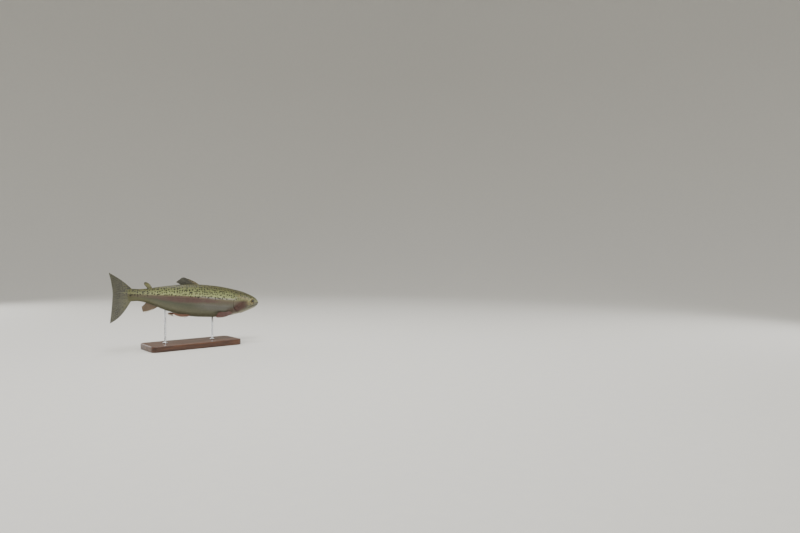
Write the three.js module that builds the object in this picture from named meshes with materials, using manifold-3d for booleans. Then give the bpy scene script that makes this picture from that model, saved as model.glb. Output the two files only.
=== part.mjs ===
// Rainbow trout (Oncorhynchus mykiss): a still, life-size model on a plain display stand.
//
// Millimetres, +Z up. The trout heads towards +X and its right side faces -Y. The origin is the centre
// of the stand's underside.
//
// Every piece of the fish is shaped on a straight trout first, where a point is (s, w, h): s runs back
// from the snout, w to the trout's left and h up from the body's axis. In three.js coordinates that is
// x = -s, y = w, z = h. pose() then bends the straight trout into its swimming curve, tips its nose
// down and lifts it over the stand.

import * as THREE from 'three';
import { mergeVertices } from 'three/addons/utils/BufferGeometryUtils.js';
import loadManifold from 'manifold-3d';

const wasm = await loadManifold();
wasm.setup();

// ---------------------------------------------------------------- driving dimensions

const FORK_LENGTH = 490;        // snout to the fork of the tail fin
const GAP = 0.3;                // clearance between neighbouring solids

// The body from snout to tail: [s, back above the axis, belly below the axis, half width]
const BODY_STATIONS = [
  [0, 11, 11, 9.5],
  [13, 17, 16.5, 13],
  [28, 24.5, 23.5, 16.8],       // eye
  [43, 30, 30, 19.5],
  [60, 35.5, 36.5, 22.5],
  [76, 39, 41, 24.3],           // gill cover
  [92, 42, 44.5, 25.3],
  [125, 47, 50.5, 27],
  [165, 50.5, 53.5, 28.5],      // deepest
  [205, 51.5, 54, 28],          // front of the dorsal fin
  [250, 49.5, 50.5, 25.5],
  [300, 43, 39, 20],
  [333, 38, 28, 15.5],          // front of the anal fin
  [356, 34, 20, 12.5],
  [385, 29.5, 12.5, 9.5],
  [410, 27.5, 9.5, 7.5],        // wrist of the tail
  [435, 28, 11.5, 4.6],
  [447, 28, 11.5, 1.4],         // end of the flesh on the tail fin
];
const SNOUT_ROUNDING = 16;      // length over which the snout closes
const SECTION_POWER = 0.95;     // 1 is an ellipse, less is boxier
const THROAT_TAPER = 0.3;       // how much the underside of the head narrows
const THROAT_END = 120;         // where that narrowing has faded out
const BODY_SIDES = 24;

// Rings of points that the body is built on
const FIRST_RING = 0.8;
const RING_GROWTH = 0.33;       // how fast their spacing grows round the snout
const HEAD_RINGS = { from: 20, to: 88, step: 8 };
const BODY_RINGS = { from: 97, to: 430, step: 14 };
const TAIL_RINGS = [436, 442, 447];

const HEAD_END = 88;            // cut between head and trunk, under the gill covers
const TRUNK_END = 345;          // cut between trunk and tail

const COVER_DEPTH = 3.5;        // gill cover's thickness
const COVER_RISE = 0.6;         // how far it stands proud of the body
const JAW_PLATE_DEPTH = 2;
const JAW_PLATE_RISE = 0.6;

const EYE_CENTRE = [28, 5];     // s, h
const EYE_RADIUS = 7.2;
const EYE_BULGE = 3.4;          // half thickness of the eyeball
const EYE_PROUD = 1.6;          // how far it stands out of the head
const EYE_FORWARD = 12;         // degrees that it looks forward
const EYE_UP = 6;               // and up

const SWIM_BEND = 0.75;         // strength of the swimming curve, 1 is a fast cruise
const SWIM_WAVE = 482;          // its wave length
const NOSE_DOWN = 5;            // degrees
const PIVOT = 230;              // point of the axis, back from the snout, that stays over the stand's middle
const AXIS_HEIGHT = 150;        // height of that point over the ground
const SIDE_SHIFT = -5;          // brings the fish's weight over the middle of the stand

const BASE_LENGTH = 290;
const BASE_WIDTH = 124;
const BASE_THICKNESS = 18;
const BASE_CORNER = 16;
const BASE_CHAMFER = 2.5;
const ROD_RADIUS = 3;
const ROD_STATIONS = { front: 158, rear: 312 };   // back from the snout
const ROD_SOCKET = 12;          // depth of the rod's end in the fish
const BASE_SOCKET = 12;         // and in the base
const ROD_SIDES = 16;
const COLLAR_RADIUS = 7;
const COLLAR_HEIGHT = 4;
const COLLAR_CHAMFER = 1.2;

// ---------------------------------------------------------------- materials

function finish(colour, roughness, metalness = 0) {
  return new THREE.MeshStandardMaterial({ color: colour, roughness, metalness });
}
const FINISH = {
  back: finish(0x6f7444, 0.35),
  head: finish(0x767146, 0.35),
  cover: finish(0xa05a52, 0.35),
  jaw: finish(0xa8a493, 0.35),
  tail: finish(0x85875a, 0.35),
  medianFin: finish(0x6d6a4b, 0.45),
  pairedFin: finish(0xa8664c, 0.45),
  eye: finish(0x17140f, 0.08),
  wood: finish(0x4a2f1d, 0.45),
  steel: finish(0xb8bcc0, 0.28, 1),
};

// ---------------------------------------------------------------- body form

// Smooth curve through one column of BODY_STATIONS that never overshoots its points.
function stationCurve(column) {
  const s = BODY_STATIONS.map((row) => row[0]);
  const value = BODY_STATIONS.map((row) => row[column]);
  const last = s.length - 1;
  const rise = s.slice(1).map((end, i) => (value[i + 1] - value[i]) / (end - s[i]));
  const slope = s.map((_, i) => {
    if (i === 0) return rise[0];
    if (i === last) return rise[last - 1];
    if (rise[i - 1] * rise[i] <= 0) return 0;
    const before = s[i] - s[i - 1];
    const after = s[i + 1] - s[i];
    const weightBefore = 2 * after + before;
    const weightAfter = after + 2 * before;
    return (weightBefore + weightAfter) / (weightBefore / rise[i - 1] + weightAfter / rise[i]);
  });
  return (at) => {
    const x = THREE.MathUtils.clamp(at, s[0], s[last]);
    const i = Math.max(0, Math.min(last - 1, s.findIndex((end) => end >= x) - 1));
    const span = s[i + 1] - s[i];
    const t = (x - s[i]) / span;
    return (1 + 2 * t) * (1 - t) ** 2 * value[i] + t * (1 - t) ** 2 * span * slope[i]
      + t * t * (3 - 2 * t) * value[i + 1] + t * t * (t - 1) * span * slope[i + 1];
  };
}
const backHeight = stationCurve(1);
const bellyDepth = stationCurve(2);
const halfWidth = stationCurve(3);

function snoutRounding(s) {
  return Math.sqrt(1 - (1 - Math.min(1, s / SNOUT_ROUNDING)) ** 2);
}

// A point of the body's section at s, at angle phi round it from the left side over the back, moved
// out of the surface by grow.
function sectionPoint(s, phi, grow) {
  const round = snoutRounding(s);
  const across = Math.cos(phi);
  const up = Math.sin(phi);
  const half = halfWidth(s) * round;
  const height = (up > 0 ? backHeight(s) : bellyDepth(s)) * round;
  const throat = up < 0 ? THROAT_TAPER * Math.max(0, 1 - s / THROAT_END) * up * up : 0;
  const y = half * (1 - throat) * Math.sign(across) * Math.abs(across) ** SECTION_POWER;
  const normal = new THREE.Vector2(across / half, up / height).normalize();
  return new THREE.Vector3(-s, y + grow * normal.x, height * up + grow * normal.y);
}

// Places of the rings: close together round the snout, wider apart along the body.
function ringStops() {
  const stops = [];
  for (let s = FIRST_RING; s < SNOUT_ROUNDING; s += 1 + s * RING_GROWTH) stops.push(s);
  for (const { from, to, step } of [HEAD_RINGS, BODY_RINGS]) {
    for (let s = from; s < to; s += step) stops.push(s);
  }
  return [...stops, ...TAIL_RINGS];
}

// ---------------------------------------------------------------- solids

function toSolid(geometry) {
  const bare = geometry.clone();
  bare.deleteAttribute('normal');
  bare.deleteAttribute('uv');
  const merged = mergeVertices(bare, 1e-4);
  return new wasm.Manifold(new wasm.Mesh({
    numProp: 3,
    vertProperties: Float32Array.from(merged.attributes.position.array),
    triVerts: Uint32Array.from(merged.index.array),
  }));
}

function meshSolid(points, triangles) {
  const geometry = new THREE.BufferGeometry();
  geometry.setAttribute('position', new THREE.Float32BufferAttribute(points.flatMap((p) => p.toArray()), 3));
  geometry.setIndex(triangles);
  return toSolid(geometry);
}

// The straight trout's whole body, swollen by grow.
function bodySolid(grow) {
  const stops = ringStops();
  const points = [new THREE.Vector3(grow, 0, 0)];
  for (const s of stops) {
    for (let side = 0; side < BODY_SIDES; side++) {
      points.push(sectionPoint(s, (2 * Math.PI * side) / BODY_SIDES, grow));
    }
  }
  const end = stops[stops.length - 1];
  points.push(new THREE.Vector3(-end, 0, (backHeight(end) - bellyDepth(end)) / 2));
  const tailPoint = points.length - 1;
  const at = (ring, side) => 1 + ring * BODY_SIDES + (side % BODY_SIDES);
  const triangles = [];
  for (let side = 0; side < BODY_SIDES; side++) {
    triangles.push(0, at(0, side), at(0, side + 1));
    for (let ring = 0; ring < stops.length - 1; ring++) {
      triangles.push(at(ring, side), at(ring + 1, side), at(ring + 1, side + 1));
      triangles.push(at(ring, side), at(ring + 1, side + 1), at(ring, side + 1));
    }
    triangles.push(at(stops.length - 1, side), tailPoint, at(stops.length - 1, side + 1));
  }
  return meshSolid(points, triangles);
}

const FAR = 60;                 // past the widest part of the body
const BEFORE_SNOUT = -20;

function box(sFrom, sTo) {
  const geometry = new THREE.BoxGeometry(sTo - sFrom, 2 * FAR, 2 * FAR);
  geometry.translate(-(sFrom + sTo) / 2, 0, 0);
  return toSolid(geometry);
}

// A side view outline of (s, h) points pushed through the fish from wFrom to wTo.
function sidePrism(outline, wFrom, wTo) {
  const shape = new THREE.Shape(outline.map((p) => new THREE.Vector2(-p.x, p.y)));
  const geometry = new THREE.ExtrudeGeometry(shape, { depth: wTo - wFrom, bevelEnabled: false });
  geometry.rotateX(Math.PI / 2);
  geometry.translate(0, wTo, 0);
  return toSolid(geometry);
}

function curveThrough(points, steps) {
  const path = new THREE.SplineCurve(points.map(([s, h]) => new THREE.Vector2(s, h)));
  return path.getPoints(steps);
}

// Moves every point of a closed outline out along the bisector of its two edges.
function swollen(outline, distance) {
  const turn = Math.sign(THREE.ShapeUtils.area(outline));
  return outline.map((point, i) => {
    const before = outline[(i + outline.length - 1) % outline.length];
    const after = outline[(i + 1) % outline.length];
    const normals = [point.clone().sub(before), after.clone().sub(point)]
      .map((edge) => new THREE.Vector2(edge.y, -edge.x).normalize().multiplyScalar(turn));
    const bisector = normals[0].clone().add(normals[1]).normalize();
    return point.clone().addScaledVector(bisector, distance / Math.max(0.5, bisector.dot(normals[0])));
  });
}

function largestPiece(solid) {
  return solid.decompose().sort((a, b) => b.volume() - a.volume())[0];
}

// ---------------------------------------------------------------- the swimming pose

// Sideways swing of the body's axis: a travelling wave that grows towards the tail. Its reach is a
// quadratic in the wave lengths passed.
const SWAY_REACH = [0.02, -0.0825, 0.1625];

function sway(s) {
  const x = s / SWIM_WAVE;
  const reach = (SWAY_REACH[0] + SWAY_REACH[1] * x + SWAY_REACH[2] * x * x) * SWIM_WAVE * SWIM_BEND;
  return -reach * Math.cos(2 * Math.PI * (x - 1));
}

const TAIL_SPARE = 40;          // the axis goes on past the fork, for the tail fin's lobes

// The axis as it curves, one entry for each millimetre back from the snout.
function traceSpine() {
  const trace = [];
  let x = 0;
  for (let s = 0; s <= FORK_LENGTH + TAIL_SPARE; s++) {
    const slope = (sway(s + 0.5) - sway(s - 0.5));
    trace.push({ x, y: sway(s), heading: Math.asin(slope) });
    x += Math.cos(Math.asin(sway(s + 1) - sway(s)));
  }
  return trace;
}
const SPINE = traceSpine();

function spineAt(s) {
  const i = THREE.MathUtils.clamp(Math.floor(s), 0, SPINE.length - 2);
  const mix = (key) => THREE.MathUtils.lerp(SPINE[i][key], SPINE[i + 1][key], s - i);
  return { x: mix('x'), y: mix('y'), heading: mix('heading') };
}

// Straight trout (x = -s, y = w, z = h) to its place over the stand.
function pose(point) {
  const spine = spineAt(-point.x);
  const forward = spineAt(PIVOT).x - spine.x + point.y * Math.sin(spine.heading);
  const left = spine.y + point.y * Math.cos(spine.heading);
  const tilt = THREE.MathUtils.degToRad(NOSE_DOWN);
  return new THREE.Vector3(
    forward * Math.cos(tilt) + point.z * Math.sin(tilt),
    left + SIDE_SHIFT,
    AXIS_HEIGHT - forward * Math.sin(tilt) + point.z * Math.cos(tilt),
  );
}

function toGeometry(solid, place = (point) => point) {
  const { vertProperties, triVerts, numProp } = solid.getMesh();
  const points = [];
  for (let i = 0; i < vertProperties.length; i += numProp) {
    points.push(...place(new THREE.Vector3(...vertProperties.slice(i, i + 3))).toArray());
  }
  const geometry = new THREE.BufferGeometry();
  geometry.setAttribute('position', new THREE.Float32BufferAttribute(points, 3));
  geometry.setIndex(Array.from(triVerts));
  geometry.computeVertexNormals();
  return geometry;
}

// ---------------------------------------------------------------- fins

// A thin web with its surface at (u, v): u from the leading to the trailing edge, v from the root to
// the margin. Its thickness is set out along the surface's normal, half to each side.
function webSolid({ surface, thickness, across = 9, along = 6 }) {
  const sides = [1, -1].map((side) => (u, v) => {
    const step = 0.01;
    const du = surface(Math.min(1, u + step), v).sub(surface(Math.max(0, u - step), v));
    const dv = surface(u, Math.min(1, v + step)).sub(surface(u, Math.max(0, v - step)));
    const normal = du.cross(dv).normalize();
    return surface(u, v).addScaledVector(normal, (side * thickness(u, v)) / 2);
  });
  const points = [];
  for (const side of sides) {
    for (let i = 0; i <= across; i++) {
      for (let j = 0; j <= along; j++) points.push(side(i / across, j / along));
    }
  }
  const row = along + 1;
  const layer = (across + 1) * row;
  const at = (face, i, j) => face * layer + i * row + j;
  const triangles = [];
  const quad = (a, b, c, d) => triangles.push(a, b, c, a, c, d);
  for (let i = 0; i < across; i++) {
    for (let j = 0; j < along; j++) {
      quad(at(0, i, j), at(0, i + 1, j), at(0, i + 1, j + 1), at(0, i, j + 1));
      quad(at(1, i, j), at(1, i, j + 1), at(1, i + 1, j + 1), at(1, i + 1, j));
    }
    quad(at(0, i, 0), at(1, i, 0), at(1, i + 1, 0), at(0, i + 1, 0));
    quad(at(0, i, along), at(0, i + 1, along), at(1, i + 1, along), at(1, i, along));
  }
  for (let j = 0; j < along; j++) {
    quad(at(0, 0, j), at(0, 0, j + 1), at(1, 0, j + 1), at(1, 0, j));
    quad(at(0, across, j), at(1, across, j), at(1, across, j + 1), at(0, across, j + 1));
  }
  return meshSolid(points, triangles);
}

function straight(s, w, h) {
  return new THREE.Vector3(-s, w, h);
}

const FIN_EDGE = 0.8;           // thickness of a fin at its margin

// A fin from its root line and the four control points of its margin, all [s, w, h]. bow lifts the
// middle of the rays, most on the leading edge.
function finShape({ root, margin, bow, rootThickness, edgeThickness = FIN_EDGE }) {
  const [front, rear] = root.map((p) => straight(...p));
  const rim = new THREE.CubicBezierCurve3(...margin.map((p) => straight(...p)));
  const lift = straight(...bow);
  return {
    surface: (u, v) => front.clone().lerp(rear, u).lerp(rim.getPoint(u), v)
      .addScaledVector(lift, Math.sin(Math.PI * v) * (1 - 0.7 * u)),
    thickness: (u, v) => edgeThickness + (rootThickness - edgeThickness) * (1 - v) ** 1.5 * (1 - 0.4 * u),
  };
}

const DORSAL = finShape({
  root: [[203, 0, 46], [263, 0, 43]],
  margin: [[254, 0, 70], [268, 1, 73], [270, 2, 66], [284, 2, 54]],
  bow: [0, 1, 4],
  rootThickness: 5,
});
const ADIPOSE = finShape({
  root: [[358, 0, 30], [374, 0, 27.5]],
  margin: [[370, 0, 44], [382, 0.5, 52.5], [394, 1, 51], [387, 0.5, 40]],
  bow: [0, 0, 1],
  rootThickness: 4,
  edgeThickness: 1.2,
});
const ANAL = finShape({
  root: [[334, 0, -24], [375, 0, -11]],
  margin: [[378, 0, -43], [385, 1, -49], [386, 1, -36], [391, 1, -26]],
  bow: [0, 0, -3],
  rootThickness: 4.5,
});
// How far each lobe of the tail fin reaches behind the fork, twists to the left and stands up, and how
// much its outer edge swells
const UPPER_LOBE = { reach: 14, twist: 8, height: 67, swell: 4 };
const LOWER_LOBE = { reach: 4, twist: -8, height: -80, swell: -11 };
const TAIL_ROOT = { s: 430, top: 26.5, bottom: -9.5, thickness: 4.2 };
const FORK_HEIGHT = 4;
const CAUDAL = {
  // u runs from the upper edge to the lower one
  surface: (u, v) => {
    const lobe = Math.abs(2 * u - 1);
    const { reach, twist, height, swell } = u < 0.5 ? UPPER_LOBE : LOWER_LOBE;
    const root = straight(TAIL_ROOT.s, 0, THREE.MathUtils.lerp(TAIL_ROOT.top, TAIL_ROOT.bottom, u));
    const rim = straight(FORK_LENGTH + reach * lobe ** 1.7, twist * lobe ** 1.5, FORK_HEIGHT + height * lobe);
    const edge = swell * lobe ** 3 * Math.sin(Math.PI * v) * (1 - 0.25 * v);
    return root.lerp(rim, v).add(straight(0, 0, edge));
  },
  thickness: (u, v) => FIN_EDGE + (TAIL_ROOT.thickness - FIN_EDGE) * (1 - v) ** 1.8,
  across: 16,
  along: 7,
};
// Paired fins are given for the left side
const PECTORAL = finShape({
  root: [[93, 12.5, -35.5], [103, 16, -30]],
  margin: [[148, 31, -53], [163, 32, -53], [160, 32, -43], [146, 31, -34]],
  bow: [0, 3, -5],
  rootThickness: 3.6,
});
const PELVIC = finShape({
  root: [[228, 8, -46], [242, 8.5, -44]],
  margin: [[283, 22, -54], [300, 23, -50], [298, 18, -42], [283, 15, -43]],
  bow: [0, 4, -6],
  rootThickness: 3.6,
});

function mirrored(fin) {
  return {
    ...fin,
    surface: (u, v) => fin.surface(1 - u, v).multiply(new THREE.Vector3(1, -1, 1)),
    thickness: (u, v) => fin.thickness(1 - u, v),
  };
}

// ---------------------------------------------------------------- head outlines, seen from the side

const COVER_OUTLINE = curveThrough([
  [57, 7], [63, 18], [76, 21.5], [88, 17], [96.5, 7], [99.5, -4], [96.5, -15], [88, -24.5],
  [76, -31.5], [63, -33], [57, -26], [54.5, -10], [57, 7],
], 24).slice(0, -1);

// The mouth line, from the tip of the snout down to the corner of the mouth
const MOUTH_LINE = curveThrough([[-2, -3.2], [10, -4.6], [26, -10.4], [38, -15.6], [46, -19.4]], 7);
const JAW_HINGE = [[50, -27], [48, -35]];
const BELOW_CHIN = -60;

function jawOutline(shrink) {
  const mouth = MOUTH_LINE.map((p) => new THREE.Vector2(p.x, p.y - shrink));
  const hinge = JAW_HINGE.map(([s, h]) => new THREE.Vector2(s - shrink, h));
  const under = [
    new THREE.Vector2(hinge[1].x, BELOW_CHIN),
    new THREE.Vector2(mouth[0].x, BELOW_CHIN),
  ];
  return [...mouth, ...hinge, ...under];
}

// The long bone of the upper jaw, which lies along the mouth line and ends in a rounded blade
const UPPER_JAW_OUTLINE = [
  ...curveThrough([[9, -4.1], [26, -9.9], [38, -15], [46, -18.7]], 6),
  ...curveThrough([[49, -17.2], [49.5, -14], [45, -10.6], [37, -8], [27, -5], [8, -1.6]], 8),
];

// ---------------------------------------------------------------- the pieces

const body = bodySolid(0);
const cleared = bodySolid(GAP);
const covered = bodySolid(COVER_RISE);
const underCover = bodySolid(-COVER_DEPTH);
const coverSeat = bodySolid(-COVER_DEPTH - GAP);
const jawRaised = bodySolid(JAW_PLATE_RISE);
const underJaw = bodySolid(-JAW_PLATE_DEPTH);
const jawSeat = bodySolid(-JAW_PLATE_DEPTH - GAP);

const SIDES = [['left', 1], ['right', -1]];

function halfPrism(outline, sign) {
  return sign > 0 ? sidePrism(outline, 0, FAR) : sidePrism(outline, -FAR, 0);
}

function eyeSolid(sign, grow) {
  const [s, h] = EYE_CENTRE;
  const forward = THREE.MathUtils.degToRad(EYE_FORWARD);
  const up = THREE.MathUtils.degToRad(EYE_UP);
  const across = Math.cos(forward) * Math.cos(up);
  const axis = new THREE.Vector3(Math.sin(forward), sign * across, Math.sin(up)).normalize();
  const centre = straight(s, sign * surfaceWidth(s, h), h).addScaledVector(axis, EYE_PROUD - EYE_BULGE);
  const geometry = new THREE.SphereGeometry(1, 16, 8);
  geometry.scale(EYE_RADIUS + grow, EYE_BULGE + grow, EYE_RADIUS + grow);
  geometry.applyQuaternion(new THREE.Quaternion().setFromUnitVectors(new THREE.Vector3(0, 1, 0), axis));
  geometry.translate(...centre.toArray());
  return toSolid(geometry);
}

// Half width of the body's surface at (s, h)
function surfaceWidth(s, h) {
  const height = (h > 0 ? backHeight(s) : bellyDepth(s)) * snoutRounding(s);
  const phi = Math.asin(THREE.MathUtils.clamp(h / height, -1, 1));
  return sectionPoint(s, phi, 0).y;
}

function rodFoot(station) {
  return pose(straight(station, 0, -bellyDepth(station)));
}

function rodSolid(station, grow) {
  const foot = rodFoot(station);
  const bottom = BASE_THICKNESS - BASE_SOCKET - grow;
  const top = foot.z + ROD_SOCKET + grow;
  const geometry = new THREE.CylinderGeometry(ROD_RADIUS + grow, ROD_RADIUS + grow, top - bottom, ROD_SIDES);
  geometry.rotateX(Math.PI / 2);
  geometry.translate(foot.x, foot.y, (top + bottom) / 2);
  return toSolid(geometry);
}

function collarSolid(station) {
  const foot = rodFoot(station);
  const floor = BASE_THICKNESS + GAP;
  const inner = ROD_RADIUS - 1;
  const profile = [
    [inner, floor], [COLLAR_RADIUS, floor], [COLLAR_RADIUS, floor + COLLAR_HEIGHT - COLLAR_CHAMFER],
    [COLLAR_RADIUS - COLLAR_CHAMFER, floor + COLLAR_HEIGHT], [inner, floor + COLLAR_HEIGHT], [inner, floor],
  ];
  const geometry = new THREE.LatheGeometry(profile.map(([r, z]) => new THREE.Vector2(r, z)), ROD_SIDES);
  geometry.rotateX(Math.PI / 2);
  geometry.translate(foot.x, foot.y, 0);
  return toSolid(geometry);
}

function baseSolid() {
  const length = BASE_LENGTH / 2 - BASE_CHAMFER;
  const width = BASE_WIDTH / 2 - BASE_CHAMFER;
  const corner = BASE_CORNER - BASE_CHAMFER;
  const shape = new THREE.Shape();
  shape.moveTo(length, -width + corner);
  shape.absarc(length - corner, width - corner, corner, 0, Math.PI / 2);
  shape.absarc(-length + corner, width - corner, corner, Math.PI / 2, Math.PI);
  shape.absarc(-length + corner, -width + corner, corner, Math.PI, 1.5 * Math.PI);
  shape.absarc(length - corner, -width + corner, corner, 1.5 * Math.PI, 2 * Math.PI);
  const geometry = new THREE.ExtrudeGeometry(shape, {
    depth: BASE_THICKNESS - 2 * BASE_CHAMFER,
    bevelThickness: BASE_CHAMFER,
    bevelSize: BASE_CHAMFER,
    bevelSegments: 2,
    curveSegments: 5,
  });
  geometry.translate(0, 0, BASE_CHAMFER);
  return toSolid(geometry);
}

// ---------------------------------------------------------------- assembly

const trout = new THREE.Group();

function addPiece(name, geometry, material) {
  const mesh = new THREE.Mesh(geometry, material);
  mesh.name = name;
  trout.add(mesh);
}

function buildFlesh() {
  let head = body.intersect(box(BEFORE_SNOUT, HEAD_END)).subtract(sidePrism(jawOutline(0), -FAR, FAR));
  let trunk = body.intersect(box(HEAD_END + GAP, TRUNK_END));
  const tail = body.intersect(box(TRUNK_END + GAP, FORK_LENGTH));
  const lowerJaw = body.intersect(sidePrism(jawOutline(GAP), -FAR, FAR));

  for (const [side, sign] of SIDES) {
    const cover = covered.intersect(halfPrism(COVER_OUTLINE, sign)).subtract(underCover);
    const seat = halfPrism(swollen(COVER_OUTLINE, GAP), sign).subtract(coverSeat);
    head = head.subtract(seat);
    trunk = trunk.subtract(seat);
    addPiece(`gill_cover_${side}`, toGeometry(largestPiece(cover), pose), FINISH.cover);

    const upperJaw = jawRaised.intersect(halfPrism(UPPER_JAW_OUTLINE, sign)).subtract(underJaw);
    head = head.subtract(halfPrism(swollen(UPPER_JAW_OUTLINE, GAP), sign).subtract(jawSeat));
    addPiece(`upper_jaw_${side}`, toGeometry(largestPiece(upperJaw), pose), FINISH.jaw);

    head = head.subtract(eyeSolid(sign, GAP));
    addPiece(`eye_${side}`, toGeometry(eyeSolid(sign, 0), pose), FINISH.eye);
  }

  let posedTrunk = toSolid(toGeometry(largestPiece(trunk), pose));
  for (const station of Object.values(ROD_STATIONS)) {
    posedTrunk = posedTrunk.subtract(rodSolid(station, GAP));
  }
  addPiece('head', toGeometry(largestPiece(head), pose), FINISH.head);
  addPiece('lower_jaw', toGeometry(largestPiece(lowerJaw), pose), FINISH.jaw);
  addPiece('trunk', toGeometry(posedTrunk), FINISH.back);
  addPiece('tail', toGeometry(largestPiece(tail), pose), FINISH.tail);
}

function buildFins() {
  const fins = {
    dorsal_fin: [DORSAL, FINISH.medianFin],
    adipose_fin: [ADIPOSE, FINISH.medianFin],
    anal_fin: [ANAL, FINISH.pairedFin],
    caudal_fin: [CAUDAL, FINISH.medianFin],
    pectoral_fin_left: [PECTORAL, FINISH.pairedFin],
    pectoral_fin_right: [mirrored(PECTORAL), FINISH.pairedFin],
    pelvic_fin_left: [PELVIC, FINISH.pairedFin],
    pelvic_fin_right: [mirrored(PELVIC), FINISH.pairedFin],
  };
  for (const [name, [fin, material]] of Object.entries(fins)) {
    const web = webSolid(fin).subtract(cleared);
    addPiece(name, toGeometry(largestPiece(web), pose), material);
  }
}

function buildStand() {
  let base = baseSolid();
  for (const [end, station] of Object.entries(ROD_STATIONS)) {
    base = base.subtract(rodSolid(station, GAP));
    const rod = rodSolid(station, 0).add(collarSolid(station));
    addPiece(`stand_rod_${end}`, toGeometry(rod), FINISH.steel);
  }
  addPiece('stand_base', toGeometry(base), FINISH.wood);
}

buildFlesh();
buildFins();
buildStand();

export default trout;
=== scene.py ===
"""A rainbow trout on a display stand: its skin, scales, fins, eyes, stand and studio.

The fish is shaped straight, in millimetres: s back from the snout, w to its left and h up from the
body's axis. Trout.place() bends that straight fish into its swimming pose, in metres.
"""

import math

import bpy
import numpy as np
from bpy.props import FloatProperty, FloatVectorProperty, IntProperty, PointerProperty
from bpy.types import Operator, Panel, PropertyGroup
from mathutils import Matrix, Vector


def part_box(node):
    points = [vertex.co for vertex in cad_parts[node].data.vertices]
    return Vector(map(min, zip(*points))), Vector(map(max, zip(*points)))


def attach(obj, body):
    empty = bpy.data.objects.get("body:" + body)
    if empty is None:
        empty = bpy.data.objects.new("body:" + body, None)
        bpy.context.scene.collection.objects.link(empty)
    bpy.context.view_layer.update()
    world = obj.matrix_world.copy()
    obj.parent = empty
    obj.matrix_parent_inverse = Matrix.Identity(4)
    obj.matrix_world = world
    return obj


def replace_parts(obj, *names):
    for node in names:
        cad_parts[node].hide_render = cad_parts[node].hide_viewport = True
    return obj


bl_info = {
    "name": "Rainbow Trout Model",
    "version": (1, 0, 0),
    "blender": (4, 5, 0),
    "location": "3D View > Sidebar > Trout",
    "description": "Builds a life-size rainbow trout on a display stand",
    "category": "Add Mesh",
}

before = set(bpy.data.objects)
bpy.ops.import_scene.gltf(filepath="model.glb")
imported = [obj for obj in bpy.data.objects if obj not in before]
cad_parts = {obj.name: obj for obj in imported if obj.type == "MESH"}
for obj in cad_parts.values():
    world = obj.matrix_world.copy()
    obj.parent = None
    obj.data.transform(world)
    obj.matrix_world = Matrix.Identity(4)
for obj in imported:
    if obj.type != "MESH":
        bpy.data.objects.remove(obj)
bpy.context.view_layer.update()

BODY = "root"
MM = 0.001
UV_NAME = "OFBake"
UV_EDGE = 0.01                     # free margin of the map
SIDES = (("left", 1), ("right", -1))

# --- the straight trout

# s, back above the axis, belly below it, half width
BODY_STATIONS = np.array([
    (0, 11, 11, 9.5), (13, 17, 16.5, 13), (28, 24.5, 23.5, 16.8), (43, 30, 30, 19.5),
    (60, 35.5, 36.5, 22.5), (76, 39, 41, 24.3), (92, 42, 44.5, 25.3), (125, 47, 50.5, 27),
    (165, 50.5, 53.5, 28.5), (205, 51.5, 54, 28), (250, 49.5, 50.5, 25.5), (300, 43, 39, 20),
    (333, 38, 28, 15.5), (356, 34, 20, 12.5), (385, 29.5, 12.5, 9.5), (410, 27.5, 9.5, 7.5),
    (435, 28, 11.3, 4.3), (441, 27.3, 10.4, 2.1), (447, 23.5, 6.5, 0.8),
])
SNOUT_ROUNDING = 16.0              # how far back the snout's round end reaches
SECTION_POWER = 0.95               # under 1, a section is a little fuller than an ellipse
THROAT_TAPER, THROAT_END = 0.3, 120.0      # how much narrower the throat is, and where that ends
SIDE_LINE, SIDE_LINE_LIFT = 4, 5   # height of the lateral line, and how far it climbs to the tail
PIVOT = 230.0                      # the point of the axis over the stand's middle
FLESH_END = BODY_STATIONS[-1, 0]
HEAD_LENGTH = 104.0                # the part of the skin that has the fine mesh
NECK_END = 112.0                   # behind this the coat of scales is whole all round
TAPER_START = 300.0                # where the body starts to narrow towards the tail
TAIL_ROOT = 430.0                  # where the tail fin starts inside the body
VENT, VENT_STRETCH = 326.0, 1.4    # its place, and its length in parts of its width

# Side view outlines of the head, (s, h)
MOUTH = [(-2, -3.2), (10, -4.6), (26, -10.4), (38, -15.6), (46, -19.4)]
UPPER_JAW = [
    (8, -1.6), (17, -2.6), (27, -5.0), (37, -8.0), (45, -10.6), (49.5, -14.0), (49.5, -17.6), (46.5, -19),
    (38, -14.9), (26, -9.8), (9, -4.2),
]
BROW = [(17, 13.5), (27, 15), (38, 13.5), (48, 9)]
CHEEK_EDGE = [(62, 14), (63.5, 4), (63, -7), (60.5, -16), (54.5, -23.5), (45, -27)]
COVER = [
    (72, 20.5), (80, 20), (89, 15.5), (96, 7), (99, -3), (97.5, -13), (91, -23), (81, -31), (69, -36.5),
    (56, -38.5),
]
# the bone over the upper jaw, and two seams of the gill cover: line, depth, width, painted shade in the
# groove, its width
GROOVES = [
    ([(27, -7.2), (36, -10.2), (43, -12.8)], 0.22, 0.6, 0.25, 0.6),
    ([(60, -15), (70, -17), (82, -15.5), (96, -11)], 0.4, 0.8, 0.3, 0.7),
    ([(50, -29.5), (60, -27), (68, -26.5), (80, -30)], 0.35, 0.8, 0.3, 0.7),
]
EYE_CENTRE = (28.0, 5.0)
EYE_RADIUS = 7.2
SOCKET_DEPTH = 3.6
SOCKET_RINGS = [(6.6, -0.45, 1.1), (8.3, 0.4, 0.8)]              # radius, rise, width
NOSTRILS = [((13.6, 8.6), 0.8, 1.1), ((16.4, 9.4), 1.05, 1.4)]   # (s, h), radius, depth
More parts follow.
